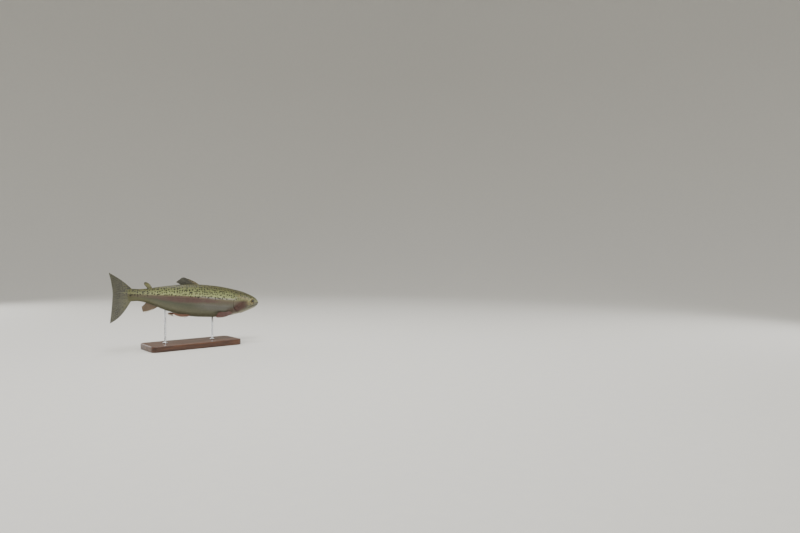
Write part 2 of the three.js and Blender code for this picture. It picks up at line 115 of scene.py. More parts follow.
# sensory pores along the lower jaw, over the eye, along the cheek edge and round the eye
PORES = [
    *((8 + 7 * i, -12.5 - 1.9 * i) for i in range(5)), *((20 + 5.5 * i, 18.5 + 1.1 * i) for i in range(6)),
    *((58.5, 9 - 7 * i) for i in range(4)),
    *((28 + 12 * math.cos(a), 5 + 12 * math.sin(a)) for a in np.radians([-60, -35, -10, 15, -90, -120])),
]
# lower edge of the gill membranes: s, and distance from the throat's midline; then their width
MEMBRANE_EDGE = [46, 56, 72, 88, 96], [0, 1.5, 7.5, 17, 24]
MEMBRANE_WIDTH, MEMBRANE_RAYS = 14, 5
BLUSH = [(47, -1), (62, -8), (80, -18), (95, -31), (108, -36)]                      # middle of the red
# gold marks on the cheek: partly the cheek's own gold, partly painted highlight
GOLD_AND_HIGHLIGHT_MARKS = [((79, 20), 3.0), ((52, 14), 3.4), ((45, 3), 2.2), ((40, -6), 1.8)]    # (s, h), width
COAT_START = np.array([                                          # (h, s) where the scales begin
    (-44, 94.5), (-40, 93.5), (-36, 93), (-26, 96), (-16, 101), (-3, 104), (14, 100.4), (22, 93.5),
    (36, 85), (50, 83),
])


def ease(value, low, high):
    """0 below low, 1 above high and smooth between."""
    t = np.clip((value - low) / (high - low), 0, 1)
    return t * t * (3 - 2 * t)


def window(value, rise, full, fade, end):
    """1 from full to fade, 0 outside rise and end, and smooth between."""
    return ease(value, rise, full) * ease(value, end, fade)


def bump(distance, width):
    return np.exp(-(distance / width) ** 2)


def unit(vectors):
    return vectors / np.linalg.norm(vectors, axis=-1, keepdims=True)


def smooth_line(points, steps=8, closed=False):
    """A smooth line through points, with that many steps from each to the next."""
    points = np.array(points, float)
    if closed:
        ends = [points[-1:], points, points[:2]]
    else:
        ends = [2 * points[:1] - points[1:2], points, 2 * points[-1:] - points[-2:-1]]
    padded = np.concatenate(ends)
    t = (np.arange(steps) / steps)[:, None]
    spans = []
    for a, b, c, d in zip(padded, padded[1:], padded[2:], padded[3:]):
        spans.append(0.5 * (2 * b + (c - a) * t + (2 * a - 5 * b + 4 * c - d) * t**2
                            + (3 * b - a - 3 * c + d) * t**3))
    spans.append(padded[-2:-1])
    return np.concatenate(spans)


def line_distance(s, h, points, closed=False):
    """Distance from a smooth line, the same with a sign (+ on the line's left), and how far along it."""
    line = smooth_line(points, closed=closed)
    start, way = line[:-1], np.diff(line, axis=0)
    offset = np.stack([s, h], -1)[:, None, :] - start
    along = np.clip((offset * way).sum(-1) / (way**2).sum(-1), 0, 1)
    gap = offset - along[..., None] * way
    distance = np.hypot(gap[..., 0], gap[..., 1])
    nearest = distance.argmin(1)
    rows = np.arange(len(s))
    distance, offset, way = distance[rows, nearest], offset[rows, nearest], way[nearest]
    side = np.sign(way[:, 0] * offset[:, 1] - way[:, 1] * offset[:, 0])
    return distance, distance * side, (nearest + along[rows, nearest]) / len(start)


def station_curve(column):
    """A smooth curve through one column of the stations that never overshoots them."""
    x, y = BODY_STATIONS[:, 0], BODY_STATIONS[:, column]
    span, rise = np.diff(x), np.diff(y) / np.diff(x)
    slope = np.concatenate([rise[:1], np.zeros(len(x) - 2), rise[-1:]])
    for i in range(1, len(x) - 1):
        if rise[i - 1] * rise[i] > 0:
            before, after = 2 * span[i] + span[i - 1], span[i] + 2 * span[i - 1]
            slope[i] = (before + after) / (before / rise[i - 1] + after / rise[i])

    def value(s):
        s = np.clip(s, x[0], x[-1])
        i = np.clip(np.searchsorted(x, s) - 1, 0, len(x) - 2)
        t = (s - x[i]) / span[i]
        return ((1 + 2 * t) * (1 - t) ** 2 * y[i] + t * (1 - t) ** 2 * span[i] * slope[i]
                + t * t * (3 - 2 * t) * y[i + 1] + t * t * (t - 1) * span[i] * slope[i + 1])
    return value


def snout_rounding(s):
    return np.sqrt(1 - (1 - np.clip(s / SNOUT_ROUNDING, 0, 1)) ** 2)


class Trout:
    """The trout's form: its sections when straight, and the bend and tilt of its pose."""

    def __init__(self, form):
        self.form = form
        self.back, self.belly, self.half = (station_curve(i) for i in (1, 2, 3))
        s = np.arange(0, form.fork_length + 41)
        slope = self.sway(s + 0.5) - self.sway(s - 0.5)
        steps = np.cos(np.arcsin(self.sway(s[1:]) - self.sway(s[:-1])))
        self.spine = s, np.concatenate([[0], np.cumsum(steps)]), self.sway(s), np.arcsin(slope)

    def sway(self, s):
        """Sideways swing of the axis: a wave that grows towards the tail."""
        x = s / self.form.swim_wave
        reach = (0.02 - 0.0825 * x + 0.1625 * x * x) * self.form.swim_wave * self.form.swim_bend
        return -reach * np.cos(2 * math.pi * (x - 1))

    def section(self, s, phi):
        """(w, h) of the body's surface at s, at phi round it from the left side over the back."""
        rounding = snout_rounding(s)
        across, up = np.cos(phi), np.sin(phi)
        height = np.where(up > 0, self.back(s), self.belly(s)) * rounding
        throat = np.where(up < 0, THROAT_TAPER * np.clip(1 - s / THROAT_END, 0, 1) * up * up, 0)
        w = self.half(s) * rounding * (1 - throat) * np.sign(across) * np.abs(across) ** SECTION_POWER
        return w, height * up

    def side_line(self, s):
        """Height of the lateral line."""
        return SIDE_LINE + SIDE_LINE_LIFT * ease(s, 230, 420)

    def flank(self, s, h):
        """-1 on the belly, 0 on the lateral line, 1 on the back."""
        line = self.side_line(s)
        rounding = snout_rounding(s)
        reach = np.where(h > line, self.back(s) * rounding - line, self.belly(s) * rounding + line)
        return np.clip((h - line) / np.maximum(reach, 22 - 0.3 * s), -1, 1)

    def place(self, s, w, h):
        """The straight point (s, w, h) in its place over the stand, in metres."""
        stations, run, side, heading = self.spine
        turn = np.interp(s, stations, heading)
        before = np.minimum(s, 0)
        forward = np.interp(PIVOT, stations, run) - np.interp(s, stations, run) - before + w * np.sin(turn)
        left = np.interp(s, stations, side) + w * np.cos(turn) + self.form.side_shift
        tilt = self.form.nose_down
        return MM * np.stack([
            forward * math.cos(tilt) + h * math.sin(tilt),
            left,
            self.form.axis_height - forward * math.sin(tilt) + h * math.cos(tilt),
        ], -1)


# --- mesh helpers


def triples(*columns):
    """Rows of three from arrays or numbers of the same shape."""
    return np.stack(np.broadcast_arrays(*columns), -1).reshape(-1, 3)


def make_piece(name, points, faces, slot, material, fields=None, uv=None, smooth=True):
    """A mesh object from arrays: faces is a list of index arrays, uv one (u, v) for each corner of each."""
    mesh = bpy.data.meshes.new(name)
    corners = np.concatenate([block.ravel() for block in faces]).astype(np.int32)
    counts = np.concatenate([np.full(len(block), block.shape[1]) for block in faces]).astype(np.int32)
    mesh.vertices.add(len(points))
    mesh.vertices.foreach_set("co", np.asarray(points, np.float32).ravel())
    mesh.loops.add(len(corners))
    mesh.loops.foreach_set("vertex_index", corners)
    mesh.polygons.add(len(counts))
    mesh.polygons.foreach_set("loop_start", np.concatenate([[0], np.cumsum(counts)[:-1]]).astype(np.int32))
    mesh.polygons.foreach_set("use_smooth", np.broadcast_to(smooth, len(counts)).astype(bool))
    for field, values in (fields or {}).items():
        layer = mesh.attributes.new(field, "FLOAT_VECTOR", "POINT")
        layer.data.foreach_set("vector", np.asarray(values, np.float32).ravel())
    if uv is not None:
        flat_uv = np.concatenate([block.reshape(-1, 2) for block in uv])
        mesh.uv_layers.new(name=UV_NAME).data.foreach_set("uv", flat_uv.astype(np.float32).ravel())
    mesh.update()
    mesh.validate()
    piece = bpy.data.objects.new(name, mesh)
    bpy.context.scene.collection.objects.link(piece)
    mesh.materials.append(material)
    if slot:
        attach(piece, BODY)
    return piece


def grid_faces(rows, columns, start=0, wrap=False):
    """Quads over a grid of points that runs row by row; wrap joins the last column to the first."""
    i, j = np.meshgrid(np.arange(rows - 1), np.arange(columns - (not wrap)), indexing="ij")
    here = (i * columns + j).ravel()
    after = (i * columns + (j + 1) % columns).ravel()
    return start + np.stack([here, here + columns, after + columns, after], 1)


def tube_faces(rings, sides):
    """Faces of a closed tube: a first point, rings of points and a last point."""
    j = np.arange(sides)
    after, last = (j + 1) % sides, 1 + (rings - 1) * sides
    return [np.stack([np.zeros_like(j), 1 + j, 1 + after], 1), grid_faces(rings, sides, 1, wrap=True),
            np.stack([np.full_like(j, last + sides), last + after, last + j], 1)]


def tube_uv(spread, sides):
    """Map of a closed tube with its rings at spread along the map and its ends at 0 and 1."""
    j = np.arange(sides)
    ring, side = (grid.ravel() for grid in np.meshgrid(np.arange(len(spread) - 1), j, indexing="ij"))
    u = np.stack([spread[ring], spread[ring + 1], spread[ring + 1], spread[ring]], 1)
    v = np.stack([side, side, side + 1, side + 1], 1) / sides
    first, last = (
        np.stack([np.stack([np.full(sides, end), np.full(sides, near), np.full(sides, near)], 1),
                  np.stack([j + 0.5, j + turn, j + 1 - turn], 1) / sides], -1)
        for end, near, turn in ((0.0, UV_EDGE, 0), (1.0, 1 - UV_EDGE, 1)))
    return [first, np.stack([u, v], -1), last]


def with_ends(values, first=None, last=None):
    """Values for a closed tube: its first point's, its rings' and its last point's."""
    values = np.asarray(values).reshape(-1, 3)
    return np.concatenate([values[:1] if first is None else [first], values,
                           values[-1:] if last is None else [last]])


def flipped(faces):
    return [block[:, ::-1] for block in faces]


# --- shader helpers


def paint(code):
    """The linear colour of a hex code."""
    channels = [(code >> shift & 255) / 255 for shift in (16, 8, 0)]
    return tuple(c / 12.92 if c <= 0.04045 else ((c + 0.055) / 1.055) ** 2.4 for c in channels)


def toned(tint, factor):
    """The same colour, darker or lighter."""
    return tuple(min(1, channel * factor) for channel in tint)


class Shader:
    """A material whose nodes are added by calls that each return their output socket."""

    def __init__(self, name):
        self.material = bpy.data.materials.new(name)
        self.material.use_nodes = True
        self.tree = self.material.node_tree
        self.tree.nodes.clear()

    def node(self, kind, inputs=None, **settings):
        node = self.tree.nodes.new(f"ShaderNode{kind}")
        for key, value in settings.items():
            setattr(node, key, value)
        for socket, value in (inputs or {}).items():
            if isinstance(value, bpy.types.NodeSocket):
                self.tree.links.new(value, node.inputs[socket])
            else:
                node.inputs[socket].default_value = value
        return node

    def field(self, name):
        return self.node("Attribute", attribute_name=name).outputs["Vector"]

    def place(self):
        return self.node("TexCoord").outputs["Object"]

    def split(self, vector):
        return self.node("SeparateXYZ", {0: vector}).outputs

    def join(self, x=0.0, y=0.0, z=0.0):
        return self.node("CombineXYZ", {0: x, 1: y, 2: z}).outputs[0]

    def math(self, operation, a, b=0.0):
        return self.node("Math", {0: a, 1: b}, operation=operation).outputs[0]

    def product(self, first, *others):
        """All of them multiplied together."""
        for other in others:
            first = self.math("MULTIPLY", first, other)
        return first

    def scaled(self, value, factor, offset):
        return self.node("Math", {0: value, 1: factor, 2: offset}, operation="MULTIPLY_ADD").outputs[0]

    def vector(self, operation, a, b):
        return self.node("VectorMath", {0: a, 1: b}, operation=operation).outputs[0]

    def ease(self, value, low, high, start=0.0, end=1.0):
        """From start to end, smoothly, as the value goes from low to high."""
        inputs = {"Value": value, "From Min": low, "From Max": high, "To Min": start, "To Max": end}
        return self.node("MapRange", inputs, interpolation_type="SMOOTHSTEP").outputs[0]

    def window(self, value, rise, full, fade, end):
        """1 from full to fade, 0 outside rise and end, and smooth between."""
        return self.product(self.ease(value, rise, full), self.ease(value, end, fade))

    def ramp(self, value, stops):
        node = self.node("ValToRGB", {0: value})
        ramp = node.color_ramp
        while len(ramp.elements) < len(stops):
            ramp.elements.new(0.5)
        for element, (position, colour) in zip(ramp.elements, stops):
            element.position = position
            element.color = (*colour, 1)
        return node.outputs[0]

    def mix(self, factor, a, b, blend="MIX"):
        colours = {6: a if isinstance(a, bpy.types.NodeSocket) else (*a, 1),
                   7: b if isinstance(b, bpy.types.NodeSocket) else (*b, 1)}
        node = self.node("Mix", {0: factor, **colours}, data_type="RGBA", blend_type=blend)
        return node.outputs[2]

    def noise(self, vector, scale, detail=2.0, roughness=0.5, output="Fac"):
        inputs = {"Vector": vector, "Scale": scale, "Detail": detail, "Roughness": roughness}
        return self.node("TexNoise", inputs).outputs[output]

    def cells(self, vector, scale, randomness=1.0, flat=False):
        inputs = {"Vector": vector, "Scale": scale, "Randomness": randomness}
        return self.node("TexVoronoi", inputs, voronoi_dimensions="2D" if flat else "3D").outputs

    def relief(self, height, strength, distance, normal=None):
        inputs = {"Height": height, "Strength": strength, "Distance": distance}
        if normal:
            inputs["Normal"] = normal
        return self.node("Bump", inputs).outputs[0]

    def finish(self, **inputs):
        """Ends the material in a Principled shader with these inputs, named with _ for a space."""
        sockets = {key.replace("_", " "): value for key, value in inputs.items()}
        shader = self.node("BsdfPrincipled", sockets)
        output = self.node("OutputMaterial")
        self.tree.links.new(shader.outputs[0], output.inputs[0])
        return self.material


def warped(shader, vector, scale, amount):
    """A coordinate pushed about by noise, to make edges irregular."""
    push = shader.noise(vector, scale, output="Color")
    push = shader.vector("SUBTRACT", push, (0.5, 0.5, 0.5))
    return shader.vector("ADD", vector, shader.vector("MULTIPLY", push, (amount, amount, amount)))


def spots(shader, sheet, scale, density, size, seed=0.0):
    """Round black spots: a cell of the sheet has one where its own random number is under the density.

    A spot shrinks where the density falls to its number, so that none is cut off.
    """
    moved = shader.vector("ADD", warped(shader, sheet, scale * 3.1, 0.2 / scale), (seed, seed, seed))
    cell = shader.cells(moved, scale, randomness=0.64, flat=True)
    chance = shader.split(cell["Color"])
    present = shader.ease(shader.math("SUBTRACT", density, chance[0]), 0.0, 0.3)
    radius = shader.product(shader.scaled(chance[1], 0.55, 0.7), size, shader.math("POWER", present, 0.4))
    inside = shader.ease(shader.math("SUBTRACT", cell["Distance"], radius), 0.05, -0.05)
    return shader.product(inside, shader.ease(present, 0.0, 0.1))


# scales of the hide's noise, per metre
MOTTLE, FLECKS, BLUSH_CLOUDS, STIPPLE = 55, 190, 140, 1500
LARGE_SPOTS, SMALL_SPOTS = 124, 235


def trout_colours(shader, colours):
    """Colour and metalness of the trout's hide, the same for the skin, the scales and the fins' roots."""
    rest = shader.field("rest")
    along, flank, gold = shader.split(shader.field("flank"))
    red, crease_shade, pale = shader.split(shader.field("paint"))
    mottle, fleck = shader.noise(rest, MOTTLE, 3), shader.noise(rest, FLECKS, 3)
    level = shader.math("ADD", flank, shader.scaled(mottle, 0.12, -0.06))
    # the colours lie lower on the front half than the lateral line does
    level = shader.math("ADD", level, shader.ease(along, 0.2, 0.6, 0.2, 0.1))
    # the flank and belly colours hold painted shade, and the side's bright band painted highlight, as under
    # light from above
    hide = shader.ramp(shader.scaled(level, 0.5, 0.5), [
        (0.0, colours.belly), (0.2, colours.belly), (0.38, colours.flank), (0.56, colours.upper_flank),
        (0.66, colours.side), (0.86, colours.back), (1.0, colours.ridge),
    ])
    crown = shader.product(shader.ease(along, 0.25, 0.15), shader.ease(level, -0.2, 0.6),
                           shader.ease(fleck, 0.3, 0.7, 0.95, 0.5))
    hide = shader.mix(crown, hide, colours.crown)
    hide = shader.mix(shader.ease(along, 0.66, 0.88, 0.0, 0.64), hide, colours.ridge)
    # the rainbow stripe, strongest in the middle of the body
    over_edge = shader.math("SUBTRACT", level, shader.ease(along, 0.33, 0.68, 0.02, -0.16))
    stripe = shader.product(
        shader.ease(over_edge, -0.14, 0.08), shader.ease(level, 0.37, 0.25), shader.ease(along, 0.1, 0.18),
        shader.ease(along, 0.2, 0.42, 0.4, 1.0), shader.ease(along, 0.84, 0.56, 0.25, 1.0),
        shader.ease(mottle, 0.2, 0.6, 0.55, 0.88))
    hide = shader.mix(stripe, hide, colours.stripe)
    # a pale line over the stripe's front half, and a faint painted silver sheen under it
    line = shader.window(level, 0.2, 0.3, 0.32, 0.42), shader.window(along, 0.16, 0.24, 0.34, 0.5)
    hide = shader.mix(shader.product(*line, 0.55), hide, colours.line)
    silver = shader.window(level, -0.55, -0.3, -0.16, 0.0), shader.window(along, 0.18, 0.26, 0.36, 0.5)
    hide = shader.mix(shader.product(*silver, 0.15), hide, colours.line)
    # the head: gold over the cheek, partly painted highlight, red gill cover, pale throat and lips
    hide = shader.mix(shader.product(gold, shader.ease(fleck, 0.4, 0.58, 0.2, 1.0)), hide, colours.gold)
    blush = shader.noise(rest, BLUSH_CLOUDS, 4, 0.6)
    red = shader.product(red, shader.ease(blush, 0.25, 0.6, 0.8, 1.0))
    cover = shader.mix(shader.ease(blush, 0.4, 0.7), colours.cover, toned(colours.cover, 0.62))
    hide = shader.mix(pale, shader.mix(red, hide, cover), colours.throat)
    # spots: thick on the back and tail, few on the stripe and none below it
    high = shader.product(shader.ease(level, 0.16, 0.36), shader.ease(along, 0.05, 0.42, 0.6, 1.35))
    low = shader.product(shader.ease(level, -0.45, 0.15), shader.ease(along, 0.62, 0.86))
    density = shader.product(shader.math("MAXIMUM", high, low), shader.ease(red, 0.1, 0.6, 1.0, 0.25))
    sheet = shader.field("sheet")
    large = spots(shader, sheet, LARGE_SPOTS, density, 0.31)
    small = spots(shader, sheet, SMALL_SPOTS, shader.product(density, 0.42), 0.26, 3.1)
    dots = shader.math("MAXIMUM", large, small)
    hide = shader.mix(shader.product(dots, 0.93), hide, colours.spot)
    stipple = shader.ease(shader.noise(rest, STIPPLE, 2, 0.7), 0.52, 0.68, 0.0, 0.4)
    hide = shader.mix(shader.product(stipple, shader.ease(level, -0.5, 0.3, 0.25, 1.0)), hide, colours.crown)
    # painted shade: darkens the head's creases, slits and pits, the vent and the lateral line's pores
    hide = shader.mix(shader.product(crease_shade, 0.8), hide, colours.crease_shade)
    return hide, shader.product(shader.ease(level, 0.7, 0.0), shader.math("SUBTRACT", 1.0, dots))


# --- settings


def colour(name, code, about):
    return FloatVectorProperty(name=name, description=about, default=paint(code), subtype="COLOR",
                               min=0, max=1)


def length(name, default, about, low=0.0, high=1000.0):
    return FloatProperty(name=name, description=about + ", in millimetres", default=default,
                         min=low, max=high)


def angle(name, degrees, about, **limits):
    return FloatProperty(name=name, description=about, default=math.radians(degrees), subtype="ANGLE",
                         unit="ROTATION", **limits)


def factor(name, default, about, low=0.0, high=1.0):
    return FloatProperty(name=name, description=about, default=default, min=low, max=high)


class TroutForm(PropertyGroup):
    """Size and pose of the fish."""
    fork_length: length("Fork length", 490, "Snout to the fork of the tail fin")
    swim_wave: length("Swim wave", 482, "Length of the swimming wave", 100)
    axis_height: length("Axis height", 150, "Height of the body's axis over the ground")
    side_shift: length("Side shift", -5, "Sideways place of the fish over the stand", -100)
    swim_bend: factor("Swim bend", 0.75, "Strength of the swimming curve", 0, 1.5)
    nose_down: angle("Nose down", 5, "Tilt of the body", min=-0.5, max=0.5)
    skin_sides: IntProperty(name="Skin sides", description="Points round the skin", default=334,
                            min=48, max=400)
    head_step: length("Head step", 0.49, "Spacing of the skin's rings on the head", 0.2, 5)
    body_step: length("Body step", 4, "Spacing of the skin's rings where the body narrows", 0.5, 20)


class TroutCoat(PropertyGroup):
    """Size and lie of the scales."""
    inset: length("Inset", 0.35, "Depth of the skin under the scales")
    step: length("Step", 2.6, "Distance from one scale to the next in its row", 1, 10)
    row: length("Row", 2.15, "Distance from one row of scales to the next", 1, 10)
    tail_size: factor("Tail size", 0.72, "Size of the scales at the tail", 0.3)
    lift: length("Lift", 0.078, "Height of a scale's free edge over the skin", 0, 2)
    seed: IntProperty(name="Seed", description="Seed of the scales' small differences", default=7)


class TroutColours(PropertyGroup):
    """Colours of the hide, the fins and the eyes."""
    crown: colour("Crown", 0x42402A, "Top of the head")
    ridge: colour("Ridge", 0x5A5834, "Top of the back")
    back: colour("Back", 0x7E8452, "Back")
    # the side's bright yellow-olive is partly its own colour, partly painted highlight along the upper side
    side: colour("Side", 0xAAB179, "Upper side, over the stripe")
    upper_flank: colour("Upper flank", 0x706C5A, "Along the stripe")
    # the flank and belly are darker than the real fish's silver and white: partly painted shade, as under
    # light from above
    flank: colour("Flank", 0x56584A, "Silver flank, under the stripe")
    belly: colour("Belly", 0x6C6C57, "Belly")
    stripe: colour("Stripe", 0x624846, "Rainbow stripe")
    line: colour("Line", 0xA89FA6, "Pale line over the stripe")
    # gold over the cheek is partly painted highlight
    gold: colour("Gold", 0xA0925A, "Gold over the cheek")
    cover: colour("Cover", 0x4B2A22, "Gill cover")
    throat: colour("Throat", 0x98927C, "Throat and lower jaw")
    spot: colour("Spot", 0x100F0A, "Spots")
    # colour of the painted shade in the head's creases, slits and pits, the vent and the pores; the adipose
    # fin's own dark rim uses it too
    crease_shade: colour("Crease", 0x1C150F, "Creases of the head")
    tail_fin: colour("Tail fin", 0x4A4939, "Tail fin")
    # the dorsal fin's dark grey is partly painted shade over its rear; its lighter front is partly its own
    # olive-brown, partly painted light
    dorsal_fin: colour("Dorsal fin", 0x403F33, "Dorsal fin")
    fin_front: colour("Dorsal front", 0x6E6446, "Front of the dorsal fin")
    breast_fin: colour("Breast fin", 0x532A1E, "Breast fins")
    belly_fin: colour("Belly fin", 0x694531, "Belly fins")
    anal_fin: colour("Anal fin", 0x6A5740, "Anal fin")
    fin_edge: colour("Fin edge", 0xF0ECDF, "White leading edges")
    iris: colour("Iris", 0x94845A, "Iris")


class TroutStage(PropertyGroup):
    """Camera and studio."""
    lens: length("Lens", 28, "Camera lens")
    distance: length("Distance", 2110, "Camera to the middle of the fish", 100, 10000)
    heads_away: angle("Heads away", 22, "How far the fish heads away from the camera")
    elevation: angle("Elevation", 4, "Camera's angle over the fish")
    aim: angle("Aim", 49.52, "Compass direction of the camera's view, from +X")
    dip: angle("Dip", 1.13, "How far the camera looks down")
    paper: colour("Paper", 0xD9D7D0, "Floor and backdrop")


# --- skin


def skin_rings(form):
    """Places of the skin's rings, closest round the snout and wide apart along the even trunk."""
    fine, coarse = form.head_step, form.body_step
    turn = np.arange(0.05, math.pi / 2, fine / SNOUT_ROUNDING)
    spans = [
        (SNOUT_ROUNDING, HEAD_LENGTH, fine), (HEAD_LENGTH, NECK_END, 2 * fine),
        (NECK_END, TAPER_START, 3 * coarse), (TAPER_START, TAIL_ROOT, coarse),
        (TAIL_ROOT, FLESH_END, coarse / 2),
    ]
    rings = [SNOUT_ROUNDING * (1 - np.cos(turn)), *(np.arange(*span) for span in spans), [FLESH_END]]
    return np.concatenate(rings)


class Relief:
    """What the features of the head add to the plain body: how far it rises, and how much shade is painted
    dark into its creases, slits and pits.
    """

    def __init__(self, s, h):
        self.s, self.h = s, h
        self.rise, self.crease_shade = np.zeros_like(s), np.zeros_like(s)

    # rise moves the surface out; the second value is painted shade, darkening grooves, slits and pits
    def add(self, rise, crease_shade=0.0):
        self.rise += rise
        self.crease_shade += crease_shade

    def line(self, points, closed=False):
        return line_distance(self.s, self.h, points, closed)

    def reach(self, centre, stretch=1.0):
        """Distance from a point, in a circle that is longer than it is high by stretch."""
        return np.hypot((self.s - centre[0]) / stretch, self.h - centre[1])

    def mouth(self):
        """A slit with lips along it, a lower jaw tucked under the upper one, and the upper jaw's bone."""
        s = self.s
        distance, above, _ = self.line(MOUTH)
        below = ease(above, 0.7, -0.5)
        slit = bump(distance, 0.95) * ease(s, 48.5, 43)
        tuck = below * np.exp(-distance / 7) * ease(s, 56, 38)
        lips = bump(distance - 1.9, 0.9) * (below * ease(s, 40, 26) + (1 - below) * ease(s, 15, 8))
        # the slit is darkened with painted shade
        self.add(-1.6 * slit * ease(s, 52, 10) ** 0.6 - 0.75 * tuck + 0.25 * lips,
                 slit * ease(s, 52, 12) ** 0.5)
        _, outside, _ = self.line(UPPER_JAW, closed=True)
        blade = 0.6 * ease(-outside, -0.32, 1.6)
        seam = bump(outside - 0.6, 0.6) * ease(s, 9, 20)
        # painted shade along the seam over the upper jaw's bone
        self.add(blade - 0.4 * seam, 0.45 * seam)
        return blade

    def eye(self):
        """The socket with a soft rim, the bones round it and the brow."""
        eye = self.reach(EYE_CENTRE)
        # the socket sinks, with shade painted dark round its edge
        self.add(-SOCKET_DEPTH * ease(eye, 6.9, 5.6), 0.9 * ease(eye, 7.2, 6.4))
        for radius, rise, width in SOCKET_RINGS:
            self.add(rise * bump(eye - radius, width))
        self.add(-0.25 * bump(eye - 10.2, 0.8) * ease(self.h, 12, 6))
        brow, _, _ = self.line(BROW)
        self.add(0.45 * bump(brow, 2.2))
        return eye

    def nostrils(self):
        """The two pits, with the flap between them."""
        for centre, radius, depth in NOSTRILS:
            gap = self.reach(centre)
            pit = bump(gap, radius)
            # each pit is darkened with painted shade
            self.add(-depth * pit + 0.3 * bump(gap - radius * 1.7, 0.5), pit)

    def cheek(self):
        """The muscle behind the eye, and the cheek bone's edge that lies over the gill cover."""
        self.add(0.6 * bump(self.reach((49, -4), 1.1), 9))
        distance, ahead, along = self.line(CHEEK_EDGE)
        shown = window(along, 0.0, 0.2, 0.85, 1.0)
        # the groove under the bone's edge is darkened with painted shade
        self.add((0.4 * bump(distance, 3) * ease(ahead, 0.8, -0.8) - 0.4 * bump(distance, 0.9)) * shown,
                 0.4 * bump(distance, 0.8) * shown)

    def gill_cover(self):
        """Proud at its free rear edge, with the gill slit behind it."""
        _, off_cover, along = self.line(COVER)
        free = ease(along, 0.03, 0.36)
        self.add(0.6 * ease(-off_cover, -0.3, 0.9) * ease(self.s, 58, 84) * ease(self.h, 24, 10))
        # the gill slit is darkened with painted shade
        self.add(-1.3 * bump(off_cover - 1.1, 0.9) * free, 0.55 * bump(off_cover - 1.0, 0.7) * free)

    def throat(self, under):
        """Gill membranes with their rays and free edge, and the arms of the lower jaw."""
        s = self.s
        throat = ease(self.h, -14, -26)
        over_edge = under - np.interp(s, *MEMBRANE_EDGE)
        fan = np.clip(over_edge / MEMBRANE_WIDTH, 0, 1)
        rays = np.cos(fan * 2 * MEMBRANE_RAYS * math.pi)
        in_fan = throat * window(s, 48, 56, 86, 92) * window(fan, 0, 0.06, 0.8, 1)
        # painted shade darkens the troughs between the membrane's rays, the gap under its free edge and the
        # jaw's fold
        self.add(in_fan * 0.22 * rays, in_fan * 0.25 * ease(rays, -0.4, -1))
        self.add(-throat * ease(over_edge, 0.4, -1.0) * window(s, 50, 56, 82, 93),
                 0.5 * throat * bump(over_edge, 0.7) * window(s, 49, 54, 88, 94))
        fold = bump(under - (2.5 + 0.13 * s), 1.2) * window(s, 20, 40, 46, 54)
        self.add(-0.35 * fold, 0.25 * fold)

    def grooves_and_pores(self):
        # the grooves and pores are sunk and darkened with painted shade
        for points, depth, width, darkness, dark_width in GROOVES:
            distance, _, _ = self.line(points)
            self.add(-depth * bump(distance, width), darkness * bump(distance, dark_width))
        for place in PORES:
            pore = bump(self.reach(place), 0.5)
            self.add(-0.2 * pore, 0.3 * pore)


def head_relief(s, h, under):
    """Rise of the head's features over the plain body, its red and pale parts, the shade painted dark into
    its creases, and its gold, which is partly painted highlight.

    under is the distance round the section from the midline of the throat.
    """
    relief = Relief(s, h)
    blade, eye = relief.mouth(), relief.eye()
    relief.nostrils()
    relief.cheek()
    relief.gill_cover()
    relief.throat(under)
    relief.grooves_and_pores()
    red, pale = head_paint(s, h)
    pale = np.maximum(pale, 0.3 * blade) * (1 - 0.9 * red)
    # gold on the cheek, over the gill cover and behind the eye: partly its own gold, partly painted highlight
    gold = 0.7 * bump(relief.reach((66, 15.5), 2.6), 4.5) + 0.3 * ease(relief.reach((38, 1), 1.5), 19, 6)
    for centre, width in GOLD_AND_HIGHLIGHT_MARKS:
        gold += bump(relief.reach(centre, 1.5), width)
    gold += 0.9 * bump(eye - 9.4, 1.3) * ease(s, 22, 30)
    return relief.rise, np.clip(red, 0, 1), np.clip(relief.crease_shade, 0, 1), pale, np.clip(gold, 0, 1)


def head_paint(s, h):
    """The red of the gill cover, which fades out behind it, and the pale throat."""
    blush, _, along = line_distance(s, h, BLUSH)
    _, off_cover, _ = line_distance(s, h, COVER)
    red = ease(blush, 21, 7) * (0.55 + 0.45 * ease(along, 0.0, 0.35)) * ease(s, 38, 54) * ease(h, -43, -35)
    red *= 1 - 0.3 * ease(off_cover, -0.5, 2)
    share = -h / np.interp(s, BODY_STATIONS[:, 0], BODY_STATIONS[:, 2])
    pale = 0.85 * ease(share, np.interp(s, [22, 50], [0.45, 0.66]), 0.9) * ease(s, 104, 88)
    return red, pale


def settle(s, h):
    """How far the skin has sunk under the scales: 0 on the head, 1 where the coat is whole."""
    return ease(s - np.interp(h, COAT_START[:, 0], COAT_START[:, 1]), -2, 7)


